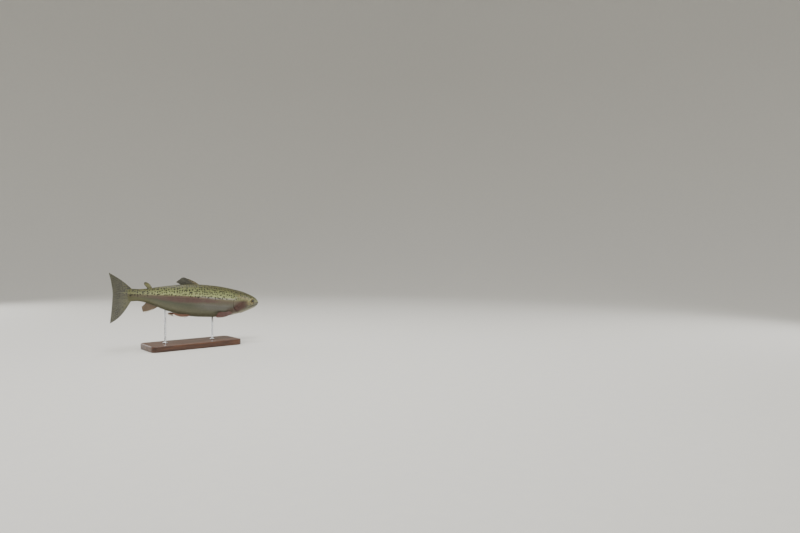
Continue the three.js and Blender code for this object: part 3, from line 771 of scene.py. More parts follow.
def build_skin(trout, form, coat, material):
    """One closed skin from the snout to the flesh on the tail fin."""
    rings, sides = skin_rings(form), form.skin_sides
    phi = -math.pi / 2 + 2 * math.pi * np.arange(sides) / sides
    s, phi = np.meshgrid(rings, phi, indexing="ij")
    w, h = trout.section(s, phi)
    plain = np.stack([-s, w, h], -1)
    normal = unit(np.cross(np.gradient(plain, axis=0), np.roll(plain, -1, 1) - np.roll(plain, 1, 1)))
    step = np.linalg.norm(np.diff(plain, axis=1, append=plain[:, :1]), axis=-1)
    round_from_belly, girth = np.cumsum(step, 1) - step, step.sum(1)[:, None]
    under = np.minimum(round_from_belly, girth - round_from_belly)

    rise, red, crease_shade, pale, gold = (np.zeros_like(s) for _ in range(5))
    on_head = rings < HEAD_LENGTH + 12
    features = head_relief(*(field[on_head].ravel() for field in (s, h, under)))
    for field, values in zip((rise, red, crease_shade, pale, gold), features):
        field[on_head] = values.reshape(-1, sides)
    sunk = settle(s, h)
    vent = np.hypot((s - VENT) / VENT_STRETCH, under)
    rise = rise * (1 - ease(sunk, 0.0, 0.35)) - coat.inset * sunk
    rise += 1.1 * bump(vent, 2.6) - 0.9 * bump(vent, 0.8)
    # painted shade in the vent's opening
    crease_shade += 0.5 * bump(vent, 1.0)

    points = with_ends(plain + normal * rise[..., None])
    points[0] = points[1:sides + 1].mean(0)
    points[-1] = -FLESH_END, 0, h[-1].mean()
    fields = {
        "rest": with_ends(triples(s, w, h), (0, 0, 0), (FLESH_END, 0, 8)) * MM,
        "flank": with_ends(triples(s / form.fork_length, trout.flank(s, h), gold)),
        "paint": with_ends(triples(red, crease_shade, pale)),
        "sheet": with_ends(triples(s, round_from_belly - girth / 2, 0)) * MM,
    }
    spread = np.interp(rings, [0, HEAD_LENGTH, FLESH_END], [UV_EDGE, 0.43, 1 - UV_EDGE])
    return make_piece("skin", trout.place(-points[:, 0], points[:, 1], points[:, 2]),
                      tube_faces(len(rings), sides), "skin", material, fields, tube_uv(spread, sides))


def skin_material(colours):
    shader = Shader("Trout skin")
    hide, silver = trout_colours(shader, colours)
    rest = shader.field("rest")
    pebbles = shader.relief(shader.cells(rest, 1500)["Distance"], 0.12, 0.0003)
    wrinkles = shader.relief(shader.noise(rest, 420, 4), 0.25, 0.0004, pebbles)
    roughness = shader.ease(shader.noise(rest, 260, 3), 0.3, 0.7, 0.3, 0.42)
    return shader.finish(
        Base_Color=hide, Metallic=shader.product(silver, 0.3), Roughness=roughness, Normal=wrinkles,
        Specular_IOR_Level=0.4, Coat_Weight=0.3, Coat_Roughness=0.14)


class TROUT_OT_skin(Operator):
    """Adds the trout's skin in one piece, with the head's mouth, bones, gill slits and throat"""
    bl_idname = "trout.skin"
    bl_label = "Add Skin"

    def execute(self, context):
        scene = context.scene
        trout = Trout(scene.trout_form)
        skin = build_skin(trout, scene.trout_form, scene.trout_coat, skin_material(scene.trout_colours))
        paired = [f"{bone}_{side}" for bone in ("upper_jaw", "gill_cover") for side, _ in SIDES]
        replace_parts(skin, "head", "lower_jaw", "trunk", "tail", *paired)
        return {"FINISHED"}


# --- scales


FLANK_START = 78.0                 # the table's first s; it has a row for every millimetre
FLANK_STEPS = 120                  # its columns from the lateral line to the back, and to the belly


class FlankMap:
    """Turns a distance up or down the flank from the lateral line into an angle round the section."""

    def __init__(self, trout):
        self.s = np.arange(FLANK_START, FLESH_END + 1)
        phi = np.radians(np.arange(-90, 90.5, 0.5))
        w, h = trout.section(self.s[:, None], phi[None])
        steps = np.hypot(np.diff(w), np.diff(h))
        arc = np.concatenate([np.zeros((len(self.s), 1)), np.cumsum(steps, 1)], 1)
        line = trout.side_line(self.s)
        middle = np.array([np.interp(y, row_h, row) for y, row_h, row in zip(line, h, arc)])
        self.down, self.up = middle, arc[:, -1] - middle
        share = np.linspace(-1, 1, 2 * FLANK_STEPS + 1)
        self.angle = np.empty((len(self.s), len(share)))
        for i, row in enumerate(arc):
            reach = np.where(share > 0, self.up[i], self.down[i])
            self.angle[i] = np.interp(share * reach, row - middle[i], phi)

    def limits(self, s):
        """Distance from the lateral line up to the back and down to the belly."""
        return np.interp(s, self.s, self.up), np.interp(s, self.s, self.down)

    def phi(self, s, y):
        up, down = self.limits(s)
        row = np.clip(s - self.s[0], 0, len(self.s) - 1.001)
        column = np.clip((y / np.where(y > 0, up, down) + 1) * FLANK_STEPS, 0, 2 * FLANK_STEPS - 0.001)
        i, j = row.astype(int), column.astype(int)
        a, b = row - i, column - j
        table = self.angle
        return ((table[i, j] * (1 - a) + table[i + 1, j] * a) * (1 - b)
                + (table[i, j + 1] * (1 - a) + table[i + 1, j + 1] * a) * b)


# One scale: places back from its middle, half width and height there, in parts of its step, row and lift
SCALE_BACK = np.array([-0.95, -0.35, 0.1, 0.4, 0.58])
SCALE_HALF = np.array([0.5, 0.84, 0.88, 0.7, 0.38])
SCALE_RISE = np.array([-1.3, -0.2, 0.5, 0.85, 0.95])
SCALE_ACROSS = np.array([-1, -0.38, 0.38, 1])
SCALE_TIP = (0.66, 0.0, 0.9)
SCALE_ROOT = (-0.1, 0.0, -2.6)
COAT_FRONT = 82.0                  # the first column of scales
COAT_SPANS = {"front": (80, 190), "middle": (190, 300), "rear": (300, FLESH_END + 1)}
VENT_CLEARANCE = 3.2
PATCH = (0.0024, 0.0014)           # size of a scale on the map


def scale_template():
    """Points (back, across, rise), the faces of the top and of the closed underside."""
    back, across = np.meshgrid(SCALE_BACK, SCALE_ACROSS, indexing="ij")
    half = SCALE_HALF[:, None] * across
    rise = SCALE_RISE[:, None] - 0.58 * half**2
    points = np.concatenate([triples(back, half, rise), [SCALE_TIP, SCALE_ROOT]])
    rows, columns = len(SCALE_BACK), len(SCALE_ACROSS)
    tip, root = rows * columns, rows * columns + 1
    top = grid_faces(rows, columns)
    end = (rows - 1) * columns
    top_end = np.array([(end + j, tip, end + j + 1) for j in range(columns - 1)])
    rim = [*range(columns), *(i * columns + columns - 1 for i in range(1, rows)), tip,
           *(i * columns for i in range(rows - 1, 0, -1))]
    under = np.array([(a, b, root) for a, b in zip(rim, rim[1:] + rim[:1])])
    return points, top, top_end, under


def scale_places(trout, flank_map, coat):
    """Middles of one side's scales: (s, y up the flank, size), in rows along the lateral line."""
    places = []
    s, column = COAT_FRONT, 0
    while s < FLESH_END - 1:
        size = 1 - (1 - coat.tail_size) * ease(s, 200, 430)
        row = coat.row * size
        up, down = flank_map.limits(s)
        k = np.arange(-int(down / row) - 1, int(up / row) + 2)
        y = k[(k + column) % 2 == 0] * row
        y = y[(y < up - 0.25 * row) & (y > -down + 0.25 * row)]
        places.append(np.stack([np.full_like(y, s), y, np.full_like(y, size)], 1))
        s += coat.step * size / 2
        column += 1
    places = np.concatenate(places)
    s, y, _ = places.T
    _, h = trout.section(s, flank_map.phi(s, y))
    off_vent = np.hypot((s - VENT) / VENT_STRETCH, y + flank_map.limits(s)[1]) > VENT_CLEARANCE
    return places[(settle(s, h) > 0.3) & off_vent]


def build_scales(name, trout, flank_map, coat, side, places, uv_span, material):
    """One joined mesh of scales for a stretch of one side; side is 1 on the left and -1 on the right."""
    rng = np.random.default_rng([coat.seed, int(uv_span[0]), 1 + side])
    template, *blocks = scale_template()
    count, size = len(places), places[:, 2:3]
    turn = rng.normal(0, 0.05, (count, 1))
    stretch = rng.normal(1, 0.04, (count, 1))
    chance = rng.random((count, 1))
    back = template[:, 0] * coat.step * size * stretch
    across = template[:, 1] * coat.row * size
    s = places[:, :1] + back * np.cos(turn) - across * np.sin(turn)
    y = places[:, 1:2] + across * np.cos(turn) + back * np.sin(turn)
    # the scales of the lateral line have a raised pore, its opening darkened with painted shade
    on_line = np.abs(places[:, 1:2]) < 0.1
    rise = template[:, 2] * coat.lift * (0.9 + 0.2 * chance) * size
    rise = rise + np.where(on_line, 0.16 * bump(template[:, 1], 0.3) * (template[:, 0] < 0.4), 0) * size
    pore = 0.6 * on_line * bump(template[:, 1], 0.35) * (template[:, 0] > -0.2)
    phi = flank_map.phi(s, y)
    w, h = trout.section(s, phi)
    nearby = np.stack(trout.section(s, phi + 0.01)) - np.stack(trout.section(s, phi - 0.01))
    normal = unit(np.stack([nearby[1], -nearby[0]], -1))
    sunk = settle(s, h)
    out = rise * (0.4 + 0.6 * sunk) - coat.inset * sunk
    w, h = w + normal[..., 0] * out, h + normal[..., 1] * out

    red, pale = np.zeros_like(s), np.zeros_like(s)
    near = places[:, 0] < HEAD_LENGTH + 30
    painted = head_paint(s[near].ravel(), h[near].ravel())
    red[near], pale[near] = (values.reshape(-1, s.shape[1]) for values in painted)
    fields = {
        "rest": triples(s, w * side, h) * MM,
        "flank": triples(s / trout.form.fork_length, trout.flank(s, h), 0),
        "paint": triples(red, pore, pale * (1 - 0.9 * red)),
        "scale": triples(template[:, 0], template[:, 1], chance + 0 * s),
        "sheet": triples(s, side * (y - flank_map.limits(s)[0]), 0) * MM,
    }
    start = (np.arange(count) * len(template))[:, None, None]
    faces = [(start + block).reshape(-1, block.shape[1]) for block in blocks]
    faces = flipped(faces) if side > 0 else faces
    smooth = np.concatenate([np.full(len(block), i < 2) for i, block in enumerate(faces)])
    middle_u = UV_EDGE + (1 - 2 * UV_EDGE) * (places[:, 0] - uv_span[0]) / (uv_span[1] - uv_span[0])
    middle_v = 0.5 + flank_map.phi(places[:, 0], places[:, 1]) / math.pi * (1 - 2 * UV_EDGE)
    patch = np.stack([middle_u, middle_v], -1)[:, None] + template[:, :2] * PATCH
    uv = [patch.reshape(-1, 2)[block] for block in faces]
    placed = trout.place(s, w * side, h).reshape(-1, 3)
    return make_piece(name, placed, faces, "skin", material, fields, uv, smooth)


def scale_material(colours):
    shader = Shader("Trout scales")
    hide, silver = trout_colours(shader, colours)
    back, _, chance = shader.split(shader.field("scale"))
    shade = shader.scaled(chance, 0.22, 0.9)
    hide = shader.mix(1.0, hide, shader.join(shade, shade, shade), "MULTIPLY")
    hide = shader.mix(shader.product(shader.ease(back, 0.3, 0.55), 0.14), hide, colours.ridge)
    rings = shader.node("TexWave", {"Vector": shader.field("scale"), "Scale": 2.2, "Distortion": 0.4},
                        wave_type="RINGS", rings_direction="SPHERICAL").outputs["Fac"]
    roughness = shader.ease(shader.noise(shader.field("rest"), 300, 2), 0.3, 0.7, 0.28, 0.42)
    return shader.finish(
        Base_Color=hide, Metallic=shader.product(silver, shader.ease(chance, 0, 1, 0.25, 0.5)),
        Roughness=roughness, Normal=shader.relief(rings, 0.1, 0.0001), Specular_IOR_Level=0.32,
        Coat_Weight=0.18, Coat_Roughness=0.24)


class TROUT_OT_scales(Operator):
    """Adds the coat of overlapping scales, in three stretches on each side"""
    bl_idname = "trout.scales"
    bl_label = "Add Scales"

    def execute(self, context):
        scene = context.scene
        trout, coat = Trout(scene.trout_form), scene.trout_coat
        flank_map, material = FlankMap(trout), scale_material(scene.trout_colours)
        places = scale_places(trout, flank_map, coat)
        for side_name, side in SIDES:
            for part, span in COAT_SPANS.items():
                here = places[(places[:, 0] >= span[0]) & (places[:, 0] < span[1])]
                build_scales(f"scales_{side_name}_{part}", trout, flank_map, coat, side, here, span, material)
        return {"FINISHED"}


# --- fins


def curve_point(points, u):
    """A point of the cubic curve with these four control points."""
    a, b, c, d = (np.array(p, float) for p in points)
    u = u[..., None]
    return a * (1 - u) ** 3 + 3 * b * u * (1 - u) ** 2 + 3 * c * u * u * (1 - u) + d * u**3


def fan(root, margin, bow):
    """The middle surface of a fin from its root line to its curved margin, in (s, w, h)."""
    front, rear = (np.array(p, float) for p in root)

    def surface(u, v):
        base = front + (rear - front) * u[..., None]
        lift = np.sin(math.pi * v) * (1 - 0.7 * u)
        return base + (curve_point(margin, u) - base) * v[..., None] + np.array(bow) * lift[..., None]
    return surface


TAIL_FORK = (490, 4)                      # s and height of the notch of the tail fin
UPPER_LOBE, LOWER_LOBE = (14, 8, 67, 4), (4, -8, -80, -11)      # back, left and up from the notch, and bow


def tail_fan(u, v):
    """The tail fin's middle surface, from its upper edge (u = 0) to its lower one."""
    lobe = np.abs(2 * u - 1)
    back, left, up, bow = (np.where(u < 0.5, *pair) for pair in zip(UPPER_LOBE, LOWER_LOBE))
    root = np.stack([np.full_like(u, TAIL_ROOT), 0 * u, 26.5 - 36 * u], -1)
    rim = np.stack([TAIL_FORK[0] + back * lobe**1.7, left * lobe**1.5, TAIL_FORK[1] + up * lobe], -1)
    middle = root + (rim - root) * v[..., None]
    middle[..., 2] += bow * lobe**3 * np.sin(math.pi * v) * (1 - 0.25 * v)
    return middle


# name: (middle surface, number of rays, thickness at the root, thickness at the margin)
FINS = {
    "dorsal_fin": (fan([(203, 0, 46), (263, 0, 43)],
                       [(254, 0, 70), (268, 1, 73), (270, 2, 66), (284, 2, 54)], (0, 1, 4)), 13, 4.0, 0.6),
    "adipose_fin": (fan([(358, 0, 30), (374, 0, 27.5)],
                        [(370, 0, 44), (382, 0.5, 52.5), (394, 1, 51), (387, 0.5, 40)],
                    (0, 0, 1)), 0, 3.6, 1.1),
    "anal_fin": (fan([(334, 0, -24), (375, 0, -11)],
                     [(378, 0, -43), (385, 1, -49), (386, 1, -36), (391, 1, -26)], (0, 0, -3)), 11, 3.8, 0.6),
    "caudal_fin": (tail_fan, 21, 3.8, 0.65),
    "pectoral_fin": (fan([(93, 12.5, -35.5), (103, 16, -30)],
                         [(148, 31, -53), (163, 32, -53), (160, 32, -43), (146, 31, -34)],
                    (0, 3, -5)), 13, 3.6, 0.6),
    "pelvic_fin": (fan([(228, 8, -46), (242, 8.5, -44)],
                       [(283, 22, -54), (300, 23, -50), (298, 18, -42), (283, 15, -43)],
                    (0, 4, -6)), 10, 3.6, 0.6),
}
PAIRED_FINS = ("pectoral_fin", "pelvic_fin")
ROOT_DEPTH = 0.1                   # how far a fin reaches into the body, in parts of its height
WEB_RECESS = 0.17                  # how far the web lies under the rays
ROOT_FLARE = 1.8                   # extra thickness where an unpaired fin meets the body
PAIRED_FLARE = 0.5                 # the same for a paired one
FIN_WAVE = 0.7                     # how far the web swings out of its plane
FIN_STEPS = 64                     # points from root to margin
RAY_STEPS = 12                     # points across each ray and its web


def ray_profile(place, v):
    """How much of a ray stands at place (counted in rays across the fin): 1 on a stem, 0 between stems.

    Each ray splits in two and then in four on its way to the margin.
    """
    offset = np.mod(place, 1) - 0.5
    first = 0.21 * ease(v, 0.35, 1.0)
    second = 0.1 * ease(v, 0.65, 1.0)
    distance = np.abs(np.abs(np.abs(offset) - first) - second)
    return bump(distance, 0.24 - 0.15 * ease(v, 0.1, 0.9))


def fin_normal(surface, u, v, d=0.002):
    """Direction square to a fin's middle surface."""
    du = surface(np.clip(u + d, 0, 1), v) - surface(np.clip(u - d, 0, 1), v)
    v = np.minimum(v + d, 1)
    return unit(np.cross(du, surface(u, v) - surface(u, v - 2 * d)))


def build_fin(name, trout, fin, material, flare, side=1):
    """A closed fin: a web that stands on branching rays, rounded at its edges and rooted in the body."""
    surface, rays, thick_root, thick_rim = fin
    cells = max(rays, 1)
    across = cells * RAY_STEPS + 1 if rays else 41
    u, v = np.meshgrid(np.linspace(0, 1, across), np.linspace(-ROOT_DEPTH, 1, FIN_STEPS), indexing="ij")
    place = u * cells
    stem = ray_profile(place, v) if rays else np.ones_like(u)
    notch = 0.014 * (1 - stem) * ease(v, 0.85, 1.0) * (1 + 0.6 * np.sin(7.1 * place))
    middle, normal = surface(u, v * (1 - notch)), fin_normal(surface, u, v)
    if rays:
        wave = FIN_WAVE * np.sin(2 * math.pi * (1.3 * u + 0.4 * v)) * ease(v, 0.2, 1.0)
        middle = middle + normal * wave[..., None]
    from_ends = np.minimum(u, 1 - u)
    web = thick_rim + (thick_root - thick_rim) * (1 - np.maximum(v, 0)) ** 1.8 * (1 - 0.4 * u)
    web = web - 2 * WEB_RECESS * (1 - stem) * ease(v, 0.03, 0.3)
    web = web + flare * np.exp(-np.abs(v) / 0.035) * np.clip(4 * from_ends, 0.15, 1)
    if not rays:
        web = web * np.sqrt(np.clip(1 - (2 * u - 1) ** 6, 0.02, 1))
    rounding = np.sqrt(np.clip(1 - ease(v, 0.97, 1.0) ** 2 * 0.9, 0, 1))
    ends = np.sqrt(np.clip(1 - (1 - np.clip(from_ends * cells * 4, 0, 1)) ** 2 * 0.9, 0, 1))
    half = (web * rounding * ends / 2)[..., None]
    points = np.stack([middle + normal * half, middle - normal * half]).reshape(-1, 3)
    s, w, h = points.T

    n = across * FIN_STEPS
    near = grid_faces(across, FIN_STEPS)
    index = np.arange(n).reshape(across, FIN_STEPS)
    rim = np.concatenate([index[:, -1], index[-1, -2::-1], index[-2::-1, 0], index[0, 1:-1]])
    after = np.roll(rim, -1)
    faces = [near, n + near[:, ::-1], np.stack([rim, rim + n, after + n, after], 1)]
    outward = np.cross(middle[1, 1] - middle[0, 1], middle[1, 2] - middle[0, 1]) @ normal[0, 1] < 0
    faces = faces if outward == (side > 0) else flipped(faces)
    up = (v + ROOT_DEPTH) / (1 + ROOT_DEPTH)
    near_uv = np.stack([u * 0.48 + UV_EDGE, up * (1 - 2 * UV_EDGE) + UV_EDGE], -1).reshape(-1, 2)
    uv = np.concatenate([near_uv, near_uv + [0.5, 0]])
    fields = {
        "ray": np.tile(triples(u, np.maximum(v, 0), stem), (2, 1)),
        "ray_place": np.tile(triples(place, v, 0), (2, 1)),
        "rest": points * [1, side, 1] * MM,
        "sheet": points[:, [0, 2, 1]] * MM,
        "flank": triples(s / trout.form.fork_length, trout.flank(np.minimum(s, FLESH_END), h), 0),
        "paint": np.zeros_like(points),
    }
    return make_piece(name, trout.place(s, w * side, h), faces, "fin", material, fields,
                      [uv[faces[0]], uv[faces[1]], uv[faces[2] % n]])


def fin_material(name, colours, web, spot_amount, white_edge, alpha, hide_reach, dark_edge=0.0, front=None):
    """Ribbed, half clear fin skin with spots and a white leading edge; its root has the hide's colours."""
    shader = Shader(name)
    u, v, stem = shader.split(shader.field("ray"))
    rest = shader.field("rest")
    blotch = shader.noise(rest, 70, 3)
    tone = shader.mix(shader.ease(blotch, 0.3, 0.7), toned(web, 0.72), web)
    # lighter rays and a darker web between them: partly the fin's own tones, partly painted highlight on the
    # rays and painted shade between them
    tone = shader.mix(shader.product(stem, shader.ease(v, 0.05, 0.4, 0.2, 0.8)), tone, toned(web, 1.45))
    between = shader.product(shader.math("SUBTRACT", 1.0, stem), shader.ease(v, 0.0, 0.2, 0.0, 0.35))
    tone = shader.mix(between, tone, toned(web, 0.45))
    # the dorsal fin's lighter front: partly its own olive-brown, partly painted light against the painted
    # shade of its rear
    if front:
        tone = shader.mix(shader.product(shader.ease(u, 0.4, 0.1), shader.ease(v, 0.9, 0.3)), tone, front)
    hide, _ = trout_colours(shader, colours)
    tone = shader.mix(shader.ease(v, hide_reach, hide_reach * 0.25), tone, hide)
    # the adipose fin's own dark rim, drawn in the dark colour of the painted crease shade
    if dark_edge:
        inner = shader.product(shader.window(u, 0.0, 0.2, 0.8, 1.0), shader.ease(v, 1.0, 0.82))
        tone = shader.mix(shader.ease(inner, 1.0, 0.0, 0.0, dark_edge), tone, colours.crease_shade)
    if spot_amount:
        density = shader.ease(v, 1.15, 0.25, 0.1, spot_amount)
        dots = spots(shader, shader.field("sheet"), 190, density, 0.27)
        tone = shader.mix(shader.product(dots, 0.9), tone, colours.spot)
    if white_edge:
        place = shader.math("SUBTRACT", u, shader.ease(v, 0.5, 1.0, 0.0, white_edge * 1.4))
        edge = shader.product(shader.ease(place, white_edge, white_edge * 0.4), shader.ease(v, 0.25, 0.6))
        tone = shader.mix(edge, tone, colours.fin_edge)
    clear = shader.math("MAXIMUM", shader.ease(v, 0.1, 0.5, 1.0, alpha), shader.product(stem, 0.9))
    normal = shader.relief(shader.noise(rest, 500, 3), 0.2, 0.0003)
    if not dark_edge:
        joints = shader.node("TexWave", {"Vector": shader.field("ray_place"), "Scale": 9.0},
                             bands_direction="Y")
        normal = shader.relief(joints.outputs["Fac"], 0.15, 0.0002, normal)
    return shader.finish(Base_Color=tone, Roughness=0.38, Alpha=clear, Normal=normal, Coat_Weight=0.35,
                         Coat_Roughness=0.15)


class TROUT_OT_fins(Operator):
    """Adds the eight fins, each a thin web over branching rays"""
    bl_idname = "trout.fins"
    bl_label = "Add Fins"

    def execute(self, context):
        scene = context.scene
        trout, colours = Trout(scene.trout_form), scene.trout_colours
        # web colour, spots, white edge, opacity, reach of the hide, dark edge, front colour
        looks = {
            "dorsal_fin": ("Dorsal fin", colours.dorsal_fin, 0.95, 0.03, 0.85, 0.2, 0, colours.fin_front),
            "adipose_fin": ("Adipose fin", colours.ridge, 0.95, 0, 1.0, 0.25, 0.9),
            "anal_fin": ("Anal fin", colours.anal_fin, 0, 0.2, 0.9, 0.08),
            "caudal_fin": ("Tail fin", colours.tail_fin, 1.1, 0, 0.8, 0.75),
            "pectoral_fin": ("Breast fins", colours.breast_fin, 0, 0.05, 0.9, 0.02),
            "pelvic_fin": ("Belly fins", colours.belly_fin, 0, 0.24, 0.9, 0.03),
        }
        for name, fin in FINS.items():
            title, *look = looks[name]
            material = fin_material(title, colours, *look)
            if name in PAIRED_FINS:
                for side_name, side in SIDES:
                    node = f"{name}_{side_name}"
                    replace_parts(build_fin(f"{node}_web", trout, fin, material, PAIRED_FLARE, side), node)
            else:
                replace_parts(build_fin(f"{name}_web", trout, fin, material, ROOT_FLARE), name)
        return {"FINISHED"}


# --- eyes


EYE_PROUD, EYE_BULGE, EYE_LENS = 1.6, 3.4, 0.35
EYE_FORWARD, EYE_UP = math.radians(12), math.radians(6)
EYE_SIDES, EYE_TURNS = 72, 49


def build_eye(name, trout, side, material):
    """A domed eyeball seated in its socket; the iris is painted by the distance from the eye's axis."""
    s, h = EYE_CENTRE
    w, _ = trout.section(np.array(s), np.array(math.asin(h / trout.back(s))))
    axis = unit(np.array([-math.sin(EYE_FORWARD), math.cos(EYE_FORWARD) * math.cos(EYE_UP),
                          math.sin(EYE_UP)]))
    fore = unit(np.cross(axis, [0, 0, 1]))
    up = np.cross(fore, axis)
    middle = np.array([s, float(w), h]) + axis * (EYE_PROUD - EYE_BULGE)
    turn = np.linspace(0, math.pi, EYE_TURNS)[1:-1]
    t, p = np.meshgrid(turn, np.arange(EYE_SIDES) * 2 * math.pi / EYE_SIDES, indexing="ij")
    disc = with_ends(triples(np.sin(t) * np.cos(p), np.sin(t) * np.sin(p), np.cos(t)), (0, 0, 1), (0, 0, -1))
    x, y, z = disc.T[..., None]
    lens = EYE_LENS * bump(np.hypot(x, y) / 0.5, 1.0) * (z > 0)
    points = middle + EYE_RADIUS * (x * fore + y * up) + (EYE_BULGE * z + lens) * axis
    faces = tube_faces(len(turn), EYE_SIDES)
    placed = trout.place(points[:, 0], points[:, 1] * side, points[:, 2])
    return make_piece(name, placed, flipped(faces) if side > 0 else faces, "eye", material, {"disc": disc})


def eye_material(colours):
    shader = Shader("Trout eye")
    x, y, _ = shader.split(shader.field("disc"))
    # the pupil is drawn out a little towards the snout
    reach = shader.node("VectorMath", {0: shader.join(x, y)}, operation="LENGTH").outputs["Value"]
    pupil_reach = shader.math("SUBTRACT", reach, shader.product(shader.ease(x, 0.1, -0.6), 0.09))
    streak = shader.noise(shader.join(shader.math("ARCTAN2", y, x), reach), 9.0, 4.0)
    gold = shader.mix(shader.ease(streak, 0.35, 0.65), toned(colours.iris, 0.35), colours.iris)
    gold = shader.mix(shader.ease(pupil_reach, 0.66, 0.61), gold, toned(colours.iris, 1.5))
    # a dark bar crosses the iris before and behind the pupil
    bar = shader.product(shader.ease(shader.math("ABSOLUTE", y), 0.42, 0.2, 0.12, 0.85),
                         shader.ease(pupil_reach, 0.6, 0.72))
    gold = shader.mix(bar, gold, paint(0x1B150D))
    gold = shader.mix(shader.ease(reach, 0.84, 0.95), gold, paint(0x0D0B08))
    tone = shader.mix(shader.ease(pupil_reach, 0.59, 0.56), gold, paint(0x030304))
    metal = shader.product(shader.ease(pupil_reach, 0.56, 0.62), 0.5)
    return shader.finish(Base_Color=tone, Metallic=metal, Roughness=0.25, Specular_IOR_Level=0.2,
                         Coat_Weight=0.75, Coat_Roughness=0.02)


class TROUT_OT_eyes(Operator):
    """Adds the two eyes"""
    bl_idname = "trout.eyes"
    bl_label = "Add Eyes"

    def execute(self, context):
        scene = context.scene
        trout, material = Trout(scene.trout_form), eye_material(scene.trout_colours)
        for name, side in SIDES:
            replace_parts(build_eye(f"eyeball_{name}", trout, side, material), f"eye_{name}")
        return {"FINISHED"}


# --- stand


CORNER, BEVEL = 16 * MM, 2.5 * MM
CORNER_STEPS, BEVEL_STEPS = 12, 7
ROD_RADIUS, ROD_SUNK, ROD_BEVEL = 3 * MM, 4 * MM, 0.5 * MM
# a rod's collar: how far it stands out of the rod (negative: in from its own edge) and its height, in mm
COLLAR_EDGE = ((-0.4, 0), (0, 0.4), (0, 2.8), (-1.2, 4))
COLLAR_NECK = ((1, 4.2), (0, 5.2))


def wood_material():
    shader = Shader("Oiled walnut")
    place = shader.place()
    grain_way = shader.vector("MULTIPLY", place, (2.2, 22.0, 22.0))
    warp = shader.noise(grain_way, 0.9, 3, output="Color")
    bent = shader.vector("ADD", grain_way, shader.vector("MULTIPLY", warp, (2.2, 2.2, 2.2)))
    rings = shader.noise(shader.vector("MULTIPLY", bent, (1.0, 3.0, 3.0)), 1.3, 6, 0.62)
    pores = shader.noise(shader.vector("MULTIPLY", place, (60.0, 900.0, 900.0)), 1.0, 2)
    tone = shader.ramp(rings, [(0.3, paint(0x2E1A10)), (0.46, paint(0x4A2C1B)), (0.58, paint(0x5E3C27)),
                               (0.75, paint(0x785135))])
    tone = shader.mix(shader.ease(pores, 0.62, 0.72, 0.0, 0.55), tone, paint(0x170C07))
    normal = shader.relief(pores, 0.2, 0.0002)
    return shader.finish(Base_Color=tone, Roughness=0.42, Normal=normal, Coat_Weight=0.25,
                         Coat_Roughness=0.25)


def steel_material():
    shader = Shader("Satin steel")
    brushed = shader.noise(shader.vector("MULTIPLY", shader.place(), (4000.0, 4000.0, 60.0)), 1.0, 2)
    normal = shader.relief(brushed, 0.05, 0.0001)
    roughness = shader.ease(brushed, 0.3, 0.7, 0.2, 0.34)
    return shader.finish(Base_Color=(0.66, 0.67, 0.68, 1), Metallic=1.0, Roughness=roughness, Normal=normal)


def turned_points(profile, sides):
    """Rings of points, one for each (radius, height) of the profile, round the upright axis."""
    spin = np.arange(sides) * 2 * math.pi / sides
    (r, z), turn = np.array(profile).T[..., None], spin[None]
    return triples(r * np.cos(turn), r * np.sin(turn), z + 0 * turn)


def lathe(name, profile, centre, material, slot, sides=64):
    """A turned piece from (radius, height) points that start and end on its axis, in metres."""
    first, last = (0, 0, profile[0][1]), (0, 0, profile[-1][1])
    points = with_ends(turned_points(profile[1:-1], sides), first, last) + [centre[0], centre[1], 0]
    return make_piece(name, points, flipped(tube_faces(len(profile) - 2, sides)), slot, material)


def bevelled_box(name, low, high, corner, bevel, material, slot):
    """A board with rounded corners and a small rounded bevel round its top and bottom."""
    half, middle = (np.array(high) - np.array(low)) / 2, (np.array(high) + np.array(low)) / 2
    arc = np.linspace(0, math.pi / 2, CORNER_STEPS)
    edge = np.linspace(0, math.pi / 2, BEVEL_STEPS)
    profile = [(-bevel * (1 - math.sin(t)), bevel * (1 - math.cos(t))) for t in edge]
    profile += [(inset, 2 * half[2] - z) for inset, z in reversed(profile)]
    rows = []
    for inset, z in profile:
        for quarter, (x_side, y_side) in enumerate(((1, 1), (-1, 1), (-1, -1), (1, -1))):
            a = arc + quarter * math.pi / 2
            x = middle[0] + x_side * (half[0] - corner) + (corner + inset) * np.cos(a)
            y = middle[1] + y_side * (half[1] - corner) + (corner + inset) * np.sin(a)
            rows.append(triples(x, y, low[2] + z))
    columns, count = 4 * CORNER_STEPS, len(profile)
    faces = [grid_faces(count, columns, 0, wrap=True)[:, ::-1], np.arange(columns)[None, ::-1],
             (np.arange(columns) + (count - 1) * columns)[None]]
    smooth = np.concatenate([np.ones(len(faces[0])), [0, 0]])
    return make_piece(name, np.concatenate(rows), faces, slot, material, smooth=smooth)


class TROUT_OT_stand(Operator):
    """Adds the wooden base and the two steel rods with their collars"""
    bl_idname = "trout.stand"
    bl_label = "Add Stand"

    def execute(self, context):
        low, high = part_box("stand_base")
        base = bevelled_box("stand_base_board", low, high, CORNER, BEVEL, wood_material(), "stand_wood")
        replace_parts(base, "stand_base")
        steel, floor, rod = steel_material(), high.z, ROD_RADIUS
        for end in ("front", "rear"):
            rod_low, rod_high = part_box(f"stand_rod_{end}")
            collar, top = (rod_high.x - rod_low.x) / 2, rod_high.z
            profile = [
                (0, floor - ROD_SUNK), (rod, floor - ROD_SUNK), (rod, floor),
                *((collar + out * MM, floor + up * MM) for out, up in COLLAR_EDGE),
                *((rod + out * MM, floor + up * MM) for out, up in COLLAR_NECK),
                (rod, top - ROD_BEVEL), (rod - ROD_BEVEL, top), (0, top),
            ]
            piece = lathe(f"stand_rod_{end}_steel", profile, (rod_low + rod_high) / 2, steel, "stand_steel")
            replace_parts(piece, f"stand_rod_{end}")
        return {"FINISHED"}


# --- stage


